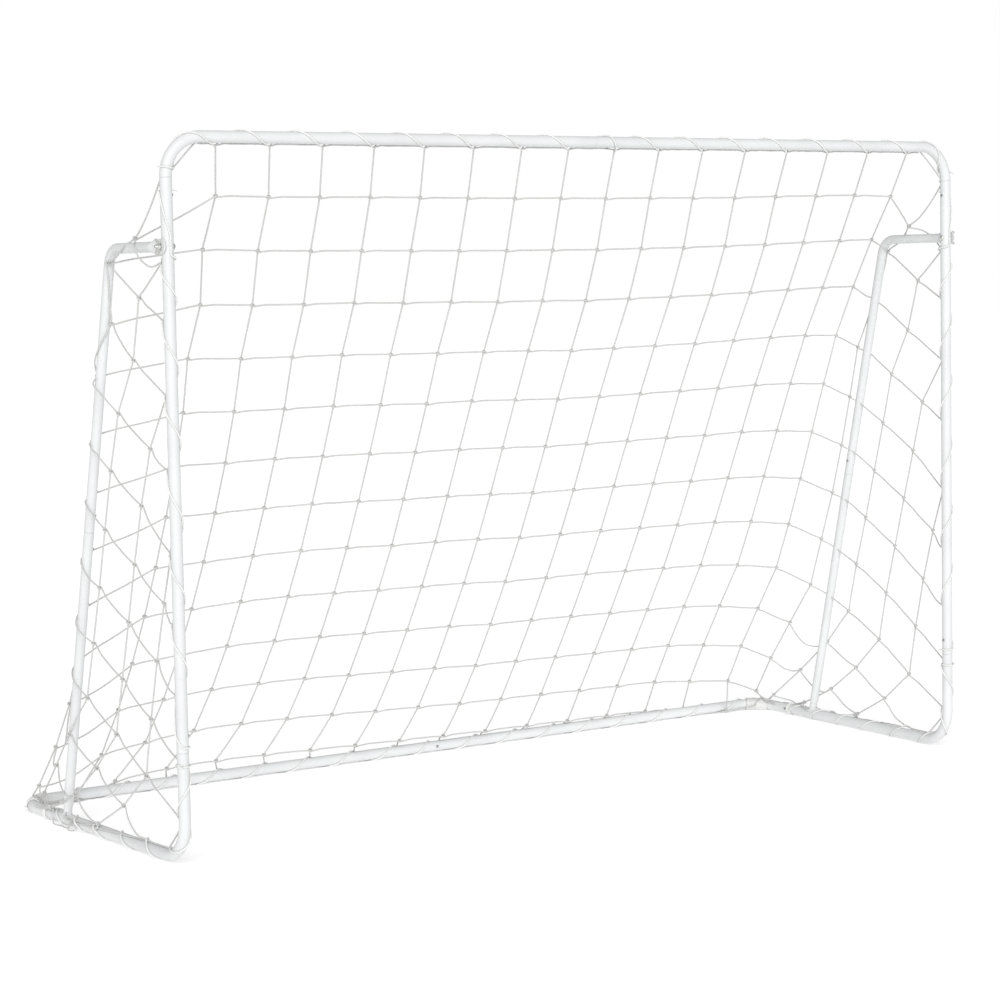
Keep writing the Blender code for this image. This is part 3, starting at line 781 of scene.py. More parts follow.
def fasteners(side):
    outward = Vector((side, 0, 0))
    origin = front_corner(side, ARM)
    head = -TUBE_RADIUS - GAP
    washer_start = PLATE_X - HALF + FLAT_HALF_THICKNESS + GAP
    nut_start = washer_start + WASHER_THICKNESS + GAP
    bolt(side, origin, outward, head, nut_start + NUT_HUB_LENGTH)
    washer(side, origin, outward, washer_start)
    wing_nut(side, origin, outward, nut_start)


# ---- Routes along the tubes ------------------------------------------------------------------
class Route:
    """Centreline of a run of tube, read by the distance along it."""

    def __init__(self, points, normal):
        self.points = np.array([tuple(point) for point in points])
        steps = np.linalg.norm(np.diff(self.points, axis=0), axis=1)
        self.marks = np.concatenate([[0], np.cumsum(steps)])
        self.length = self.marks[-1]
        self.tangents, self.normals, self.binormals = path_frames(self.points, normal)

    def at(self, mark):
        """Point, tangent, normal and binormal at a distance along the route."""
        mark = np.atleast_1d(mark)
        point, tangent, normal = (
            np.stack([np.interp(mark, self.marks, values[:, axis]) for axis in range(3)], axis=1)
            for values in (self.points, self.tangents, self.normals))
        tangent /= np.linalg.norm(tangent, axis=1)[:, None]
        normal -= tangent * np.sum(normal * tangent, axis=1)[:, None]
        normal /= np.linalg.norm(normal, axis=1)[:, None]
        return point, tangent, normal, np.cross(tangent, normal)

    def nearest(self, place):
        """Distance along the route of the point nearest to a place."""
        place = np.asarray(place, float)
        starts = self.points[:-1]
        legs = np.diff(self.points, axis=0)
        shares = np.clip(np.sum((place - starts) * legs, axis=1) / np.sum(legs ** 2, axis=1), 0, 1)
        gaps = np.linalg.norm(starts + legs * shares[:, None] - place, axis=1)
        best = int(np.argmin(gaps))
        return self.marks[best] + shares[best] * (self.marks[best + 1] - self.marks[best])

    def angle(self, mark, direction):
        """Angle round the tube that looks in a direction."""
        _, _, normal, binormal = self.at(mark)
        direction = np.asarray(direction, float)
        return atan2(direction.dot(binormal[0]), direction.dot(normal[0]))


def make_routes():
    routes = {}
    seam_high = UPPER_SEAM + GAP
    routes["crossbar"] = Route(rounded_path([front_corner(-1, seam_high), front_corner(-1, TOP),
                                             front_corner(1, TOP), front_corner(1, seam_high)],
                                            CORNER_RADIUS), BACK)
    rear_ends = [rear_corner(side) - side_direction(side) * REAR_JOINT_RUN for side in (-1, 1)]
    routes["rear_bar"] = Route(rounded_path([rear_ends[0], rear_corner(-1), rear_corner(1), rear_ends[1]],
                                            CORNER_RADIUS), UP)
    for side in (-1, 1):
        name = side_name(side)
        foot = front_corner(side, LOWER_SEAM)
        routes[f"{name}_post"] = Route([foot, front_corner(side, TOP - CORNER_RADIUS)], BACK)
        base = [foot, front_corner(side, GROUND), rear_ends[(side + 1) // 2]]
        routes[f"{name}_base"] = Route(rounded_path(base, CORNER_RADIUS), BACK)
        tip, elbow, _ = brace_corners(side)
        routes[f"{name}_brace"] = Route(rounded_path([tip, elbow, brace_point(side, 0)], ELBOW_RADIUS), UP)
    return routes


ROUTES = make_routes()


# ---- Cords -----------------------------------------------------------------------------------
def cord_rings(points, radius, sides, taper):
    """Rings of a round cord along points, and how far along each one is."""
    points = np.asarray(points, float)
    first = points[1] - points[0]
    normal = np.cross(first, (0.31, 0.52, 0.79))
    _, normals, binormals = path_frames(points, normal)
    steps = np.linalg.norm(np.diff(points, axis=0), axis=1)
    marks = np.concatenate([[0], np.cumsum(steps)])
    angles = 2 * pi * np.arange(sides) / sides
    radii = radius * (1 - taper * (marks / marks[-1]) ** 2)
    rings = (points[:, None, :] + radii[:, None, None] * (np.cos(angles)[None, :, None] * normals[:, None, :]
             + np.sin(angles)[None, :, None] * binormals[:, None, :]))
    return rings, marks


class Bundle:
    """Cords gathered into one mesh, each with its girth and length as a map for the twist."""

    def __init__(self):
        self.verts = []
        self.faces = []
        self.maps = []
        self.count = 0

    def add(self, points, radius=CORD / 2, sides=CORD_SIDES, taper=0.0):
        rings, marks = cord_rings(points, radius, sides, taper)
        count = len(marks)
        start = self.count + np.arange(count - 1)[:, None] * sides
        index = np.arange(sides)[None, :]
        after = (index + 1) % sides
        quads = np.stack([start + index, start + after, start + sides + after, start + sides + index], axis=2)
        self.verts.append(rings.reshape(-1, 3))
        self.faces += quads.reshape(-1, 4).tolist()
        low = np.broadcast_to(marks[:-1, None], (count - 1, sides))
        high = np.broadcast_to(marks[1:, None], (count - 1, sides))
        left = np.broadcast_to(index / sides, (count - 1, sides))
        right = left + 1 / sides
        corners = [np.stack(pair, axis=2)
                   for pair in ((left, low), (right, low), (right, high), (left, high))]
        self.maps.append(np.stack(corners, axis=2).reshape(-1, 2))
        for ring, mark in ((0, marks[0]), (count - 1, marks[-1])):
            face = (self.count + ring * sides + np.arange(sides)).tolist()
            self.faces.append(face[::-1] if ring == 0 else face)
            self.maps.append(np.tile([0.5, mark], (sides, 1)))
        self.count += count * sides

    def piece(self, name, material=None):
        mesh = bpy.data.meshes.new(name)
        mesh.from_pydata(np.concatenate(self.verts).tolist(), [], self.faces)
        layer = mesh.uv_layers.new(name="girth_and_length")
        layer.data.foreach_set("uv", np.concatenate(self.maps).astype(np.float32).ravel())
        return new_piece(name, mesh, material or SHADED_NET_TWINE, 70)


def through(points, spacing):
    """Smooth curve through points (Catmull-Rom), sampled about every spacing."""
    points = np.asarray(points, float)
    ends = (2 * points[0] - points[1], 2 * points[-1] - points[-2])
    padded = np.concatenate([ends[:1], points, ends[1:]])
    result = []
    for index in range(1, len(padded) - 2):
        before, start, end, after = padded[index - 1:index + 3]
        count = max(1, ceil(np.linalg.norm(end - start) / spacing))
        for share in np.arange(count) / count:
            result.append(0.5 * (2 * start + (end - before) * share
                                 + (2 * before - 5 * start + 4 * end - after) * share ** 2
                                 + (3 * start - before - 3 * end + after) * share ** 3))
    result.append(points[-1])
    return np.array(result)


def loop_round(place, axis, heading):
    """Points of a cord that turns once round another cord and goes on the same way."""
    axis = axis / np.linalg.norm(axis)
    forward = heading - axis * heading.dot(axis)
    forward /= np.linalg.norm(forward)
    aside = np.cross(axis, forward)
    angles = np.linspace(0, 2 * pi, LOOP_STEPS + 1)
    climb = (angles / (2 * pi) - 0.5) * LOOP_CLIMB
    round_it = np.outer(np.cos(angles), aside) + np.outer(np.sin(angles), forward)
    return place + LOOP_LIFT * round_it + np.outer(climb, axis)


# ---- The net ---------------------------------------------------------------------------------
MESH = 0.1285            # side of one square mesh
FOLDS = (0, 17)          # the columns that turn over the braces
FLAP = 3                 # columns of each side panel
ROWS = 13
MIDDLE = 8.5             # column number of the goal's middle
TIE_PITCH = 0.1246       # between ties on the crossbar: the net is gathered a little
REAR_TIE_PITCH = 0.1215  # and on the rear bar, from the right end
TIE_SHARED = 0.004       # ties closer than this are one

# Cord between two knots, over MESH. The pairs are for the back panel's left and right ends.
COLUMN_DRAWS = (0.95, 0.988)
ROW_DRAWS = (0.905, 0.965)
LEFT_FOLD_DRAW = 1.48    # in a row, from the left fold to the back panel
FOLD_DRAW = 1.0          # in the fold's own column
FLAP_COLUMN_DRAW = 0.99
FLAP_ROW_DRAW = 1.08
TOP_SHARES = (0.88, 1.22, 0.9, 1.0, 0.85)    # from a tie to the first knot: back, fold, flap
FOOT_SHARES = (0.95, 0.38)
SIDE_FOOT_SHARE = 0.3
ROW_SHARES = (1.05, 0.8, 1.1, 0.7, 1.15, 0.6, 0.85, 1.0, 1.15, 1.15, 0.6, 0.6, 0.6)    # row ends
UNEVEN = 0.006           # spread of the hand-knotted lengths

# Side panels: ties behind the mouth and above the ground, and the folds over the braces.
NET_X = HALF + 0.0345    # outside the braces
BEHIND_ELBOW = 0.050     # start of the folds, clear behind the braces
ELBOW_HOLD = (0.0099, -0.003, -0.0285)   # where a fold catches on its brace, from the elbow's corner
HOLD_ROW = 2
FOLD_FOOT = (DEPTH - 0.02, 0.01)     # foot of a fold, as first guessed
FOLD_LEAD = 0.2          # meshes from a fold's tie to row 0, as first guessed
BOW = 0.020              # start of the edge cords, bowed outwards round the braces
FLAP_RUN = -0.855        # a side panel's rows, for each metre: forward
FLAP_FALL = -0.52        # and down
ROW_HEIGHTS = (1.22, 1.10, 0.95, 0.80, 0.63, 0.485, 0.34, 0.207, 0.085)    # row ends up the post
ROW_RUNS = (0.16, 0.38, 0.47, 0.78)      # ends of the last rows, along the ground bar
COLUMN_TOPS = (1.381, 1.22, 0.95, 0.63)  # column tops up the post, from the fold on
COLUMN_RUNS = (0.76, 0.73, 0.63, 0.53)   # column feet along the ground bar

# Settling.
SLICES = 4               # stretches that one side of a mesh is divided into
SETTLING = (500, 9)      # steps, and rounds of pulling in each
WATCH_EVERY = 10         # steps between searches for bars near the cords
PUSH_EVERY = 3           # rounds between pushes off the bars
LYING = CORD * 0.7       # height of a cord on the ground
DAMPING = 0.93
WEIGHT = 1.6e-5          # fall in one step
EAGER = 1.7              # over-relaxation of the cords' pull
MOST_TRAVEL = 0.003      # in one step
NEAR = 0.030             # bars closer than this are watched
SAG_KEPT = 0.35          # of a cord's sag between two knots
CLEARANCE = 0.003        # that a straight cord needs from a bar

# Knots, ties and lacing.
DRAWN_STEP = 0.012       # between the rings of a net cord
LOOP_STEPS = 12
LOOP_LIFT = CORD * 1.02
LOOP_CLIMB = CORD * 1.1
TIE_LIFT = 0.0060        # cord at a tie, out from the tube's skin
LACING_LIFT = 0.0022     # centre of the wound lacing, out from the tube's skin
LACING_PITCH = 0.128     # along the tube, for one turn
LACING_STEP = 0.0035
TIE_SPREAD = 0.008       # half length of a lacing turn's rise over a tie
TIGHT_PITCH = CORD * 1.06    # of the close turns at a lacing's ends
TIGHT_STEPS = 16         # points to one close turn
FEW_TURNS = 0.4          # at the ends of the crossbar's and the posts' lacing
BASE_TURNS = (1.5, 3)
CORNER_TURNS = 17        # bundled round each rear corner
LUMP = CORD * 0.25       # of the bundled turns that lie on others
LUMP_WAVES = 40
LUMP_START = 0.6
MOST_SINGLE_TURNS = 4
TIE_CROSSING = CORD * 0.95   # cord over a tie's cord
CROSSBAR_BARE = 0.020    # tube without lacing, at each end of a route
REAR_BAR_BARE = 0.112
POST_FOOT_BARE = 0.012
BASE_FRONT_BARE = 0.030
LACING_STOP = 0.020      # before the highest tie, and before the side base's button
TAIL = 0.009
STRANDS = 3              # in a frayed tail
STRAND_RADIUS = CORD * 0.22
STRAND_SIDES = 5
CLEAR_OF_FOOT = 0.014    # lacing and ties, from the brace's foot
CLEAR_OF_BOLT = 0.020
BORDER_STEP = 0.012
BORDER_PULL = 0.014      # half length that a tie draws off the tube
BORDER_LIFT = CORD * 0.62
BORDER_START = 0.004
BORDER_UNEVEN = 0.0005
REAR_TURN = 0.020        # from the rear bar's ends


def beyond_fold(column):
    """Columns past the nearer fold: 0 on it, negative in the back panel."""
    return max(FOLDS[0] - column, column - FOLDS[1])


def row_draw(column):
    """Cord in a row's mesh, over its side, between a column and the next one."""
    if column == FOLDS[0]:
        return LEFT_FOLD_DRAW
    if FOLDS[0] < column < FOLDS[1]:
        return np.interp(column, (FOLDS[0] + 1, FOLDS[1] - 1), ROW_DRAWS)
    return FLAP_ROW_DRAW


def fold_place(side, length):
    """Place on the fold of a side panel, by the length down from its tie on the post."""
    turn = np.array([BRACE_ELBOW_Y + BEHIND_ELBOW, ARM - GROUND])
    top = np.array([0.0, COLUMN_TOPS[0]])
    corner = np.array(FOLD_FOOT)
    first = np.linalg.norm(turn - top)
    second = np.linalg.norm(corner - turn)
    if length < first:
        run, rise = top + (turn - top) * length / first
    else:
        run, rise = turn + (corner - turn) * (length - first) / second
    return np.array([side * NET_X, FRONT + run, GROUND + rise])


def knot_place(column, row):
    """First guess of a knot's place, before the net settles."""
    beyond = beyond_fold(column)
    if beyond < 0:
        slope = np.array([0, DEPTH, -RISE]) / np.hypot(DEPTH, RISE)
        start = np.array([(column - MIDDLE) * TIE_PITCH, FRONT, TOP])
        return start + slope * row * MESH
    side = -1 if column <= FOLDS[0] else 1
    if beyond == 0 and row == HOLD_ROW:
        out, run, rise = ELBOW_HOLD
        return np.array([side * (PLATE_X + out), FRONT + BRACE_ELBOW_Y + run, ARM + rise])
    place = fold_place(side, (row + FOLD_LEAD) * MESH) + np.array([0, FLAP_RUN, FLAP_FALL]) * beyond * MESH
    place[1] = max(place[1], FRONT + TUBE_RADIUS)
    place[2] = max(place[2], GROUND + TUBE_RADIUS)
    return place


def frame_tie_spot(side, run, rise):
    """Route and mark nearest to a place on one side's tubes, given behind the mouth and above the ground."""
    place = (side * (HALF + REAR_SPLAY * run / DEPTH), FRONT + run, GROUND + rise)
    found = []
    for name in (f"{side_name(side)}_post", f"{side_name(side)}_base", "rear_bar"):
        mark = ROUTES[name].nearest(place)
        found.append((np.linalg.norm(ROUTES[name].at(mark)[0][0] - place), name, mark))
    return min(found)[1:]


class Net:
    """Knots, cord stretches between them and ties on the tubes."""

    def __init__(self):
        self.places = []
        self.fixed = []
        self.links = []
        self.rests = []
        self.knots = {}
        self.cords = {}
        self.ties = {}

    def point(self, place, fixed=False):
        self.places.append(np.asarray(place, float))
        self.fixed.append(fixed)
        return len(self.places) - 1

    def tie(self, route_name, mark, toward):
        """Tie on a tube, on the side that looks at a place."""
        for known, index, _ in self.ties.get(route_name, []):
            if abs(known - mark) < TIE_SHARED:
                return index
        centre, tangent, _, _ = ROUTES[route_name].at(mark)
        outward = np.asarray(toward, float) - centre[0]
        outward -= tangent[0] * outward.dot(tangent[0])
        outward /= np.linalg.norm(outward)
        index = self.point(centre[0] + outward * (TUBE_RADIUS + TIE_LIFT), True)
        self.ties.setdefault(route_name, []).append((mark, index, outward))
        return index

    def stretch(self, start, end, length, bow):
        """Cord between two points, cut into slices. Returns the points passed."""
        chain = [start]
        for part in range(1, SLICES):
            share = part / SLICES
            place = self.places[start] * (1 - share) + self.places[end] * share
            place[0] += bow * np.sin(pi * share)
            chain.append(self.point(place))
        chain.append(end)
        for first, second in zip(chain, chain[1:]):
            self.links.append((first, second))
            self.rests.append(length / SLICES)
        return chain


def weave():
    """The net as knots and cords, tied to the tubes, before it settles."""
    net = Net()
    columns = range(FOLDS[0] - FLAP, FOLDS[1] + FLAP + 1)
    for column in columns:
        beyond = beyond_fold(column)
        last = ROWS if beyond < 0 else ROWS - 1
        for row in range(max(1, 2 * beyond), last + 1):
            held = beyond == 0 and row == HOLD_ROW
            net.knots[column, row] = net.point(knot_place(column, row), held)

    def tie_to(spot, key):
        return net.tie(*spot, net.places[net.knots[key]])

    def bar_spot(bar, column, y, z, pitch):
        last = FOLDS[1] - 1
        return bar, ROUTES[bar].nearest(((last - MIDDLE) * TIE_PITCH + (column - last) * pitch, y, z))

    def add_cord(line, keys, ties, lengths):
        """Cord along knots that follow each other, with a tie at each end."""
        stops = [ties[0]] + [net.knots[key] for key in keys] + [ties[1]]
        net.cords[line] = []
        for begin, finish, length in zip(stops, stops[1:], lengths):
            edge = line[0] == "row" and (begin == ties[0] or finish == ties[1])
            bow = BOW * np.sign(net.places[begin][0]) if edge else 0.0
            net.cords[line].append(net.stretch(begin, finish, length * (1 + random.normal(0, UNEVEN)), bow))

    for column in columns:
        keys = [key for key in net.knots if key[0] == column]
        beyond = beyond_fold(column)
        side = -1 if column <= FOLDS[0] else 1
        if beyond < 0:
            spots = (bar_spot("crossbar", column, FRONT, TOP, TIE_PITCH),
                     bar_spot("rear_bar", column, REAR, GROUND, REAR_TIE_PITCH))
            ends = FOLDS[0] + 1, FOLDS[1] - 1
            foot = np.interp(column, ends, FOOT_SHARES)
            draw = np.interp(column, ends, COLUMN_DRAWS)
        else:
            spots = (frame_tie_spot(side, 0, COLUMN_TOPS[beyond]),
                     frame_tie_spot(side, COLUMN_RUNS[beyond], 0))
            foot = SIDE_FOOT_SHARE
            draw = FOLD_DRAW if beyond == 0 else FLAP_COLUMN_DRAW
        top = TOP_SHARES[max(beyond, -1) + 1]
        lengths = [MESH * top] + [MESH * draw] * (len(keys) - 1) + [MESH * foot]
        add_cord(("column", column), keys, (tie_to(spots[0], keys[0]), tie_to(spots[1], keys[-1])), lengths)
    for row in range(1, ROWS + 1):
        keys = [(column, row) for column in columns if (column, row) in net.knots]
        spots = []
        for side in (-1, 1):
            if row <= len(ROW_HEIGHTS):
                spots.append(frame_tie_spot(side, 0, ROW_HEIGHTS[row - 1]))
            else:
                spots.append(frame_tie_spot(side, ROW_RUNS[row - 1 - len(ROW_HEIGHTS)], 0))
        end = MESH * ROW_SHARES[row - 1]
        inner = [MESH * row_draw(column) for column, _ in keys[:-1]]
        lengths = [end] + inner + [end]
        add_cord(("row", row), keys, (tie_to(spots[0], keys[0]), tie_to(spots[1], keys[-1])), lengths)
    return net


def obstacles():
    """Round bars that the net may not enter: starts, legs and radii of their straight pieces."""
    starts, legs, radii = [], [], []
    for name, route in ROUTES.items():
        radius = BRACE_RADIUS if name.endswith("brace") else TUBE_RADIUS
        corners = np.concatenate([route.points[:1], route.points[1:-1:2], route.points[-1:]])
        starts.append(corners[:-1])
        legs.append(np.diff(corners, axis=0))
        radii.append(np.full(len(corners) - 1, radius + CORD / 2 + GAP))
    return np.concatenate(starts), np.concatenate(legs), np.concatenate(radii)


def off_bars(points, bars):
    """Shortest way from each bar's axis to each point, and its length."""
    starts, legs, _ = bars
    offset = points[:, None, :] - starts
    share = np.clip(np.sum(offset * legs, axis=2) / np.sum(legs ** 2, axis=1), 0, 1)
    away = offset - share[:, :, None] * legs
    return away, np.linalg.norm(away, axis=2)


def pushed_out(points, bars):
    """How far each point has to move to clear the bar that it is deepest in."""
    radii = bars[2]
    away, gap = off_bars(points, bars)
    deepest = np.argmax(radii - gap, axis=1)
    index = np.arange(len(points))
    need = np.maximum(radii[deepest] - gap[index, deepest], 0)
    return away[index, deepest] * (need / gap[index, deepest])[:, None]


def near_bars(places, first, second, bars):
    """Cord slices that could touch a bar soon."""
    gap = off_bars((places[first] + places[second]) / 2, bars)[1] - bars[2]
    return np.flatnonzero(gap.min(axis=1) < NEAR)


def settle_net(net):
    """Lets the net hang: cords never longer than they are, weight down, bars and ground solid."""
    steps, rounds = SETTLING
    places = np.array(net.places)
    free = ~np.array(net.fixed)
    first, second = np.array(net.links).T
    rests = np.array(net.rests)
    ends = np.concatenate([first, second])
    shares = np.maximum(np.bincount(ends, minlength=len(places)), 1)[:, None]
    bars = obstacles()
    before = places.copy()

    def gathered(moves):
        """Moves of cord ends, added up for each point."""
        return np.stack([np.bincount(ends, moves[:, axis], len(places)) for axis in range(3)], axis=1)

    for step in range(steps):
        if step % WATCH_EVERY == 0:
            near = near_bars(places, first, second, bars)
            corners = np.unique(np.concatenate([first[near], second[near]]))
            corners = corners[free[corners]]
        motion = (places - before) * DAMPING
        motion[:, 2] -= WEIGHT
        before = places.copy()
        places[free] += motion[free]
        for turn in range(rounds):
            gaps = places[second] - places[first]
            lengths = np.linalg.norm(gaps, axis=1)
            pull = gaps * (np.maximum(lengths - rests, 0) / np.maximum(lengths, 1e-9) / 2)[:, None]
            places[free] += (gathered(np.concatenate([pull, -pull])) * EAGER / shares)[free]
            if turn % PUSH_EVERY == PUSH_EVERY - 1:
                moves = pushed_out((places[first[near]] + places[second[near]]) / 2, bars)
                for tips in (first[near], second[near]):
                    loose = free[tips]
                    np.add.at(places, tips[loose], moves[loose] / 2)
                places[corners] += pushed_out(places[corners], bars)
        travel = places - before
        reach = np.linalg.norm(travel, axis=1, keepdims=True)
        places = before + travel * np.minimum(1, MOST_TRAVEL / np.maximum(reach, 1e-9))
        places[free, 2] = np.maximum(places[free, 2], LYING)
    return places


def tightened(net, places):
    """Takes most of the sag out of the cords between their knots, unless a bar stands in the way."""
    tight = places.copy()
    starts, legs, radii = obstacles()
    wide = starts, legs, radii + CLEARANCE
    for chain in net.cords.values():
        for stretch in chain:
            ends = places[stretch[0]], places[stretch[-1]]
            shares = np.linspace(0.1, 0.9, 9)[:, None]
            if np.any(pushed_out(ends[0] * (1 - shares) + ends[1] * shares, wide)):
                continue
            inner = stretch[1:-1]
            shares = np.linspace(0, 1, len(stretch))[1:-1, None]
            chord = ends[0] * (1 - shares) + ends[1] * shares
            tight[inner] = chord + (places[inner] - chord) * SAG_KEPT
    return tight


def draw_net(net, places):
    """Cords of the settled net, with each row looped once round the columns that it crosses."""
    bundle = Bundle()
    knots = set(net.knots.values())
    directions = {}
    for (kind, _), chain in net.cords.items():
        if kind == "column":
            for above, below in zip(chain, chain[1:]):
                knot = above[-1]
                directions[knot] = places[below[1]] - places[above[-2]]
    for (kind, _), chain in net.cords.items():
        line = [chain[0][0]] + [index for stretch in chain for index in stretch[1:]]
        if kind == "column":
            bundle.add(through(places[line], DRAWN_STEP))
            continue
        guides = []
        for position, index in enumerate(line):
            if index in knots:
                heading = places[line[position + 1]] - places[line[position - 1]]
                guides.append(loop_round(places[index], directions[index], heading))
            else:
                guides.append(places[index][None, :])
        bundle.add(np.concatenate(smoothed(guides)))
    return bundle


def smoothed(guides):
    """Joins single guide points into smooth stretches between the loops at the knots."""
    parts = []
    waiting = []
    for guide in guides:
        if len(guide) == 1:
            waiting.append(guide[0])
            continue
        if waiting:
            lead = [parts[-1][-2], parts[-1][-1]] if parts else []
            curve = through(lead + waiting + [guide[0], guide[1]], DRAWN_STEP)
            parts.append(trimmed(curve, lead, guide))
        parts.append(guide)
        waiting = []
    if waiting:
        curve = through([parts[-1][-2], parts[-1][-1]] + waiting, DRAWN_STEP)
        parts.append(curve[2:])
    return parts


def trimmed(curve, lead, guide):
    """Drops the parts of a curve that repeat the loops on both sides of it."""
    low = 0
    if lead:
        low = int(np.argmin(np.linalg.norm(curve - lead[1], axis=1))) + 1
    high = int(np.argmin(np.linalg.norm(curve - guide[0], axis=1)))
    return curve[low:high]


# ---- Lacing ----------------------------------------------------------------------------------
def winding(low, high, holds, hand):
    """Angle round the tube at each mark: through every hold, turning one way at the usual pitch."""
    holds = sorted(holds, key=lambda hold: hold[0])
    marks, angles = [holds[0][0]], [holds[0][1]]
    for mark, angle in holds[1:]:
        run = mark - marks[-1]
        turn = (hand * (angle - angles[-1])) % (2 * pi)
        wanted = 2 * pi * run / LACING_PITCH
        turn += 2 * pi * max(0, round((wanted - turn) / (2 * pi)))
        marks.append(mark)
        angles.append(angles[-1] + hand * turn)
    rate = 2 * pi / LACING_PITCH * hand
    marks = [low] + marks + [high]
    angles = [angles[0] - rate * (marks[1] - low)] + angles + [angles[-1] + rate * (high - marks[-2])]
    return marks, angles


def wound(route, marks, angles, radii):
    """Points round a route, at angles and radii, and the centres that they turn round."""
    centre, _, normal, binormal = route.at(marks)
    outward = np.cos(angles)[:, None] * normal + np.sin(angles)[:, None] * binormal
    return centre + radii[:, None] * outward, centre


def tail(place, tangent, outward):
    """Three untwisted strands fanning out of a cord's end, drooping."""
    strands = []
    for turn in range(STRANDS):
        aside = np.cross(tangent, outward) * random.normal(0, 0.35) + outward * random.uniform(0.2, 0.7)
        reach = TAIL * random.uniform(0.6, 1.1)
        shares = np.linspace(0, 1, 8)[:, None]
        bend = tangent * shares * reach + aside * shares ** 1.6 * reach * 0.5
        bend[:, 2] -= (shares[:, 0] ** 2) * reach * 0.35
        start = CORD * 0.28 * np.array([cos(turn * 2 * pi / STRANDS), sin(turn * 2 * pi / STRANDS), 0])
        strand = place + start + bend
        strand[:, 2] = np.maximum(strand[:, 2], CORD / 2)
        strands.append(strand)
    return strands


def lace(name, route_name, low, high, hand, avoid, ties, turns, nodes):
    """Cord wound along a tube over the net's border, with tight end turns and frayed tails."""
    route = ROUTES[route_name]
    lift = TUBE_RADIUS + LACING_LIFT
    ties = [(mark, outward) for mark, outward in ties if low < mark < high]
    holds = [(mark, route.angle(mark, direction)) for mark, direction in ties + avoid]
    hold_marks, hold_angles = winding(low, high, holds, hand)
    marks = np.linspace(low, high, ceil((high - low) / LACING_STEP) + 1)
    angles = np.interp(marks, hold_marks, hold_angles)
    over = np.zeros_like(marks)
    for mark, _ in ties:
        over = np.maximum(over, np.exp(-((marks - mark) / TIE_SPREAD) ** 2))
    radii = lift + over * (TIE_LIFT + TIE_CROSSING - LACING_LIFT)
    for sign, count in zip((-1, 1), turns):
        tight = np.linspace(0, 1, ceil(count * TIGHT_STEPS))[1:]
        run = (low if sign < 0 else high) + sign * tight * count * TIGHT_PITCH
        twist = (angles[0] if sign < 0 else angles[-1]) + sign * hand * 2 * pi * count * tight
        lumps = np.where(tight > 0.5, 0.0, LUMP * (np.sin(tight * LUMP_WAVES) > LUMP_START))
        pile = lift + lumps * (count > MOST_SINGLE_TURNS)
        added = zip((marks, angles, radii), (run, twist, pile))
        marks, angles, radii = (np.concatenate([new[::-1], old] if sign < 0 else [old, new])
                                for old, new in added)
    points, centre = wound(route, marks, angles, radii)
    bundle = Bundle()
    bundle.add(points)
    for end, before in ((0, 2), (-1, -3)):
        heading = points[end] - points[before]
        heading /= np.linalg.norm(heading)
        outward = points[end] - centre[end]
        outward /= np.linalg.norm(outward)
        for strand in tail(points[end], heading, outward):
            bundle.add(strand, STRAND_RADIUS, STRAND_SIDES, 0.4)
    settle(bundle.piece(name, LACE), "root", "net_cord", *nodes)


def tie_list(net, route_name):
    return [(mark, outward) for mark, _, outward in net.ties.get(route_name, [])]


def lace_all(net):
    back = {name: -button_facing(name) for name in ("crossbar_button", "rear_bar_button")}
    for bar, hand, ends, turns in (("crossbar", 1, CROSSBAR_BARE, FEW_TURNS),
                                   ("rear_bar", -1, REAR_BAR_BARE, CORNER_TURNS)):
        length = ROUTES[bar].length
        lace(f"{bar}_lacing", bar, ends, length - ends, hand,
             [(length / 2 + BUTTON_SETBACK, back[f"{bar}_button"])], tie_list(net, bar), (turns, turns),
             (f"{bar}_lacing_left", f"{bar}_lacing_right"))
    bolt = ARM - LOWER_SEAM
    for side in (-1, 1):
        name = side_name(side)
        outward = Vector((side, 0, 0))
        high = GROUND + COLUMN_TOPS[0] - LACING_STOP - LOWER_SEAM
        lace(f"{name}_post_lacing", f"{name}_post", POST_FOOT_BARE, high, side,
             [(BUTTON_SETBACK, outward), (bolt - CLEAR_OF_BOLT, -BACK), (bolt + CLEAR_OF_BOLT, -BACK),
              (UPPER_SEAM - LOWER_SEAM - BUTTON_SETBACK, outward)],
             tie_list(net, f"{name}_post"), (FEW_TURNS, FEW_TURNS),
             (f"{name}_post_lacing_lower", f"{name}_post_lacing_upper"))
        base = ROUTES[f"{name}_base"]
        foot = base.nearest(brace_point(side, 0))
        ties = [tie for tie in tie_list(net, f"{name}_base") if abs(tie[0] - foot) > CLEAR_OF_FOOT]
        high = base.length - BUTTON_SETBACK - LACING_STOP
        lace(f"{name}_base_lacing", f"{name}_base", BASE_FRONT_BARE, high, -side,
             [(foot - CLEAR_OF_FOOT, -outward), (foot + CLEAR_OF_FOOT, outward)], ties, BASE_TURNS,
             (f"{name}_base_lacing_front", f"{name}_base_lacing_rear"))


# ---- The net's border ------------------------------------------------------------------------
def border_run(net, route_name, corners, skipped):
    """Border cord along one route, on the net's side: off the tube at ties, on its skin between."""
    route = ROUTES[route_name]
    holds = sorted([(mark, route.angle(mark, outward)) for mark, outward in tie_list(net, route_name)]
                   + [(mark, route.angle(mark, direction)) for mark, direction in corners])
    hold_angles = np.unwrap([angle for _, angle in holds])
    marks = np.arange(BORDER_START, route.length, BORDER_STEP)
    for low, high in skipped:
        marks = marks[(marks < low) | (marks > high)]
    angles = np.interp(marks, [mark for mark, _ in holds], hold_angles)
    lift = np.full(len(marks), BORDER_LIFT)
    for mark, _ in tie_list(net, route_name):
        lift = np.maximum(lift, TIE_LIFT * np.exp(-((marks - mark) / BORDER_PULL) ** 2))
    lift += np.abs(random.normal(0, BORDER_UNEVEN, len(marks)))
    return wound(route, marks, angles, TUBE_RADIUS + lift)[0]


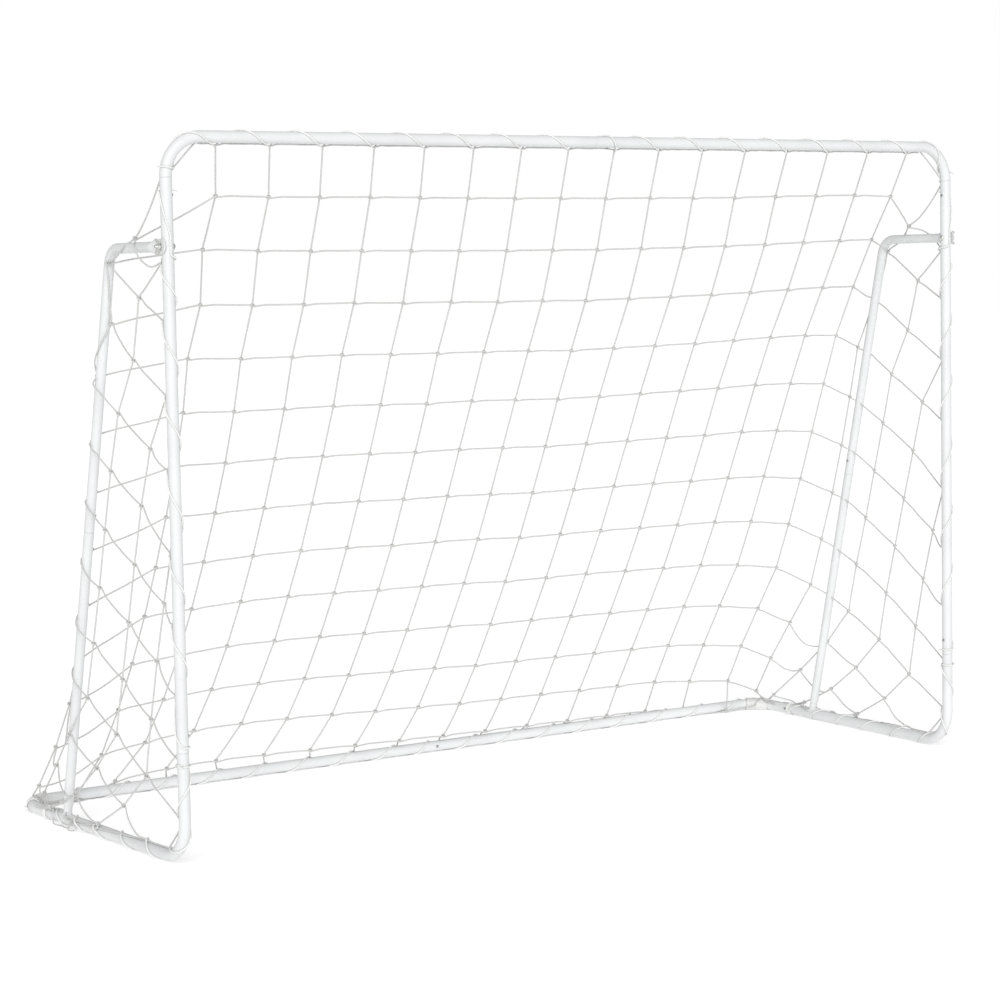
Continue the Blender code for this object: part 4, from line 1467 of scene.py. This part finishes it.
def border(net, bundle):
    """Border cord round the whole net, straight across the inside of the top and front corners."""
    arc = CORNER_RADIUS * pi / 2
    lead = CORNER_RADIUS / 9
    first = TOP - CORNER_RADIUS - UPPER_SEAM - GAP
    last = ROUTES["crossbar"].length - first - arc
    corners = [(first + arc / 2, (1, 0.5, -1)), (last + arc / 2, (-1, 0.5, -1))]
    skipped = [(first + 2 * lead, first + arc - 2 * lead), (last + 2 * lead, last + arc - 2 * lead)]
    top = border_run(net, "crossbar", corners, skipped)
    runs = {-1: [], 1: []}
    for side in (-1, 1):
        name = side_name(side)
        start = LOWER_SEAM - CORNER_RADIUS - GROUND
        foot = ROUTES[f"{name}_base"].nearest(brace_point(side, 0))
        runs[side] = [border_run(net, f"{name}_post", [], [])[::-1],
                      border_run(net, f"{name}_base", [(start + arc / 2, (0, 1, 1)), (foot, (-side, 0, 0.5))],
                                 [(start + 2 * lead, start + arc - 2 * lead)])]
    last = ROUTES["rear_bar"].length
    turns = [(REAR_TURN, (1, -1, 0.6)), (last - REAR_TURN, (-1, -1, 0.6))]
    rear = border_run(net, "rear_bar", turns, [])
    whole = [top, *runs[1], rear[::-1], runs[-1][1][::-1], runs[-1][0][::-1], top[:1]]
    bundle.add(through(np.concatenate(whole), BORDER_STEP / 3))


# ---- Camera, light and floor -----------------------------------------------------------------
CAMERA_PLACE = (-3.3768, -5.1124, 1.1994)
CAMERA_YAW, CAMERA_PITCH, CAMERA_ROLL = 0.5823, 0.0869, -0.0192
CAMERA_LENS = 93.42
ROOM_LIGHT = 0.50
FRONT_LIGHT = 2.4
FRONT_LIGHT_ANGLE = 50
FRONT_LIGHT_HEADING = (0.45, 0.80, -0.40)
FLOOR_GLOW = 0.30
FLOOR_REACH = 60.0


def aim_camera():
    """The photographed view: from the front left, a little above the middle."""
    camera = bpy.data.cameras.new("camera")
    camera.lens = CAMERA_LENS
    camera.clip_end = FLOOR_REACH
    forward = Vector((sin(CAMERA_YAW) * cos(CAMERA_PITCH), cos(CAMERA_YAW) * cos(CAMERA_PITCH),
                      -sin(CAMERA_PITCH)))
    level = Vector((cos(CAMERA_YAW), -sin(CAMERA_YAW), 0))
    upward = level.cross(forward)
    right = level * cos(CAMERA_ROLL) + upward * sin(CAMERA_ROLL)
    upward = upward * cos(CAMERA_ROLL) - level * sin(CAMERA_ROLL)
    item = bpy.data.objects.new("camera", camera)
    matrix = Matrix((right, upward, -forward)).transposed().to_4x4()
    matrix.translation = Vector(CAMERA_PLACE)
    item.matrix_world = matrix
    bpy.context.scene.collection.objects.link(item)
    bpy.context.scene.camera = item


def studio():
    """White room. The backdrop is seen at full white, and lights the goal less than the front light."""
    world = bpy.data.worlds.new("studio")
    world.use_nodes = True
    nodes = world.node_tree.nodes
    background = nodes["Background"]
    background.inputs["Color"].default_value = (1, 1, 1, 1)
    strength = nodes.new("ShaderNodeMapRange")
    strength.inputs["To Min"].default_value = ROOM_LIGHT
    strength.inputs["To Max"].default_value = 1.0
    world.node_tree.links.new(nodes.new("ShaderNodeLightPath").outputs["Is Camera Ray"],
                              strength.inputs["Value"])
    world.node_tree.links.new(strength.outputs["Result"], background.inputs["Strength"])
    bpy.context.scene.world = world
    bpy.context.scene.view_settings.view_transform = "Standard"
    softbox = bpy.data.lights.new("softbox", "SUN")
    softbox.energy = FRONT_LIGHT
    softbox.angle = radians(FRONT_LIGHT_ANGLE)
    lamp = bpy.data.objects.new("softbox", softbox)
    lamp.rotation_euler = Vector(FRONT_LIGHT_HEADING).to_track_quat("-Z", "Y").to_euler()
    bpy.context.scene.collection.objects.link(lamp)
    data = bmesh.new()
    bmesh.ops.create_grid(data, x_segments=2, y_segments=2, size=FLOOR_REACH)
    mesh = bpy.data.meshes.new("floor")
    data.to_mesh(mesh)
    data.free()
    floor = new_piece("floor", mesh, pale_floor())
    floor.location = (0, 0, -GAP)


# ---- Everything ------------------------------------------------------------------------------
aim_camera()
studio()
for side in (-1, 1):
    crossbar_half(side)
    post(side)
    side_base(side)
    rear_half(side)
    brace_upper(side)
    brace_lower(side)
    brace_stub(side)
    fasteners(side)
spring_buttons()
goal_net = weave()
net_places = settle_net(goal_net)
lace_all(goal_net)
cords = draw_net(goal_net, tightened(goal_net, net_places))
border(goal_net, cords)
settle(cords.piece("goal_net"), "root", "net_cord", "back_net", "left_side_net", "right_side_net")
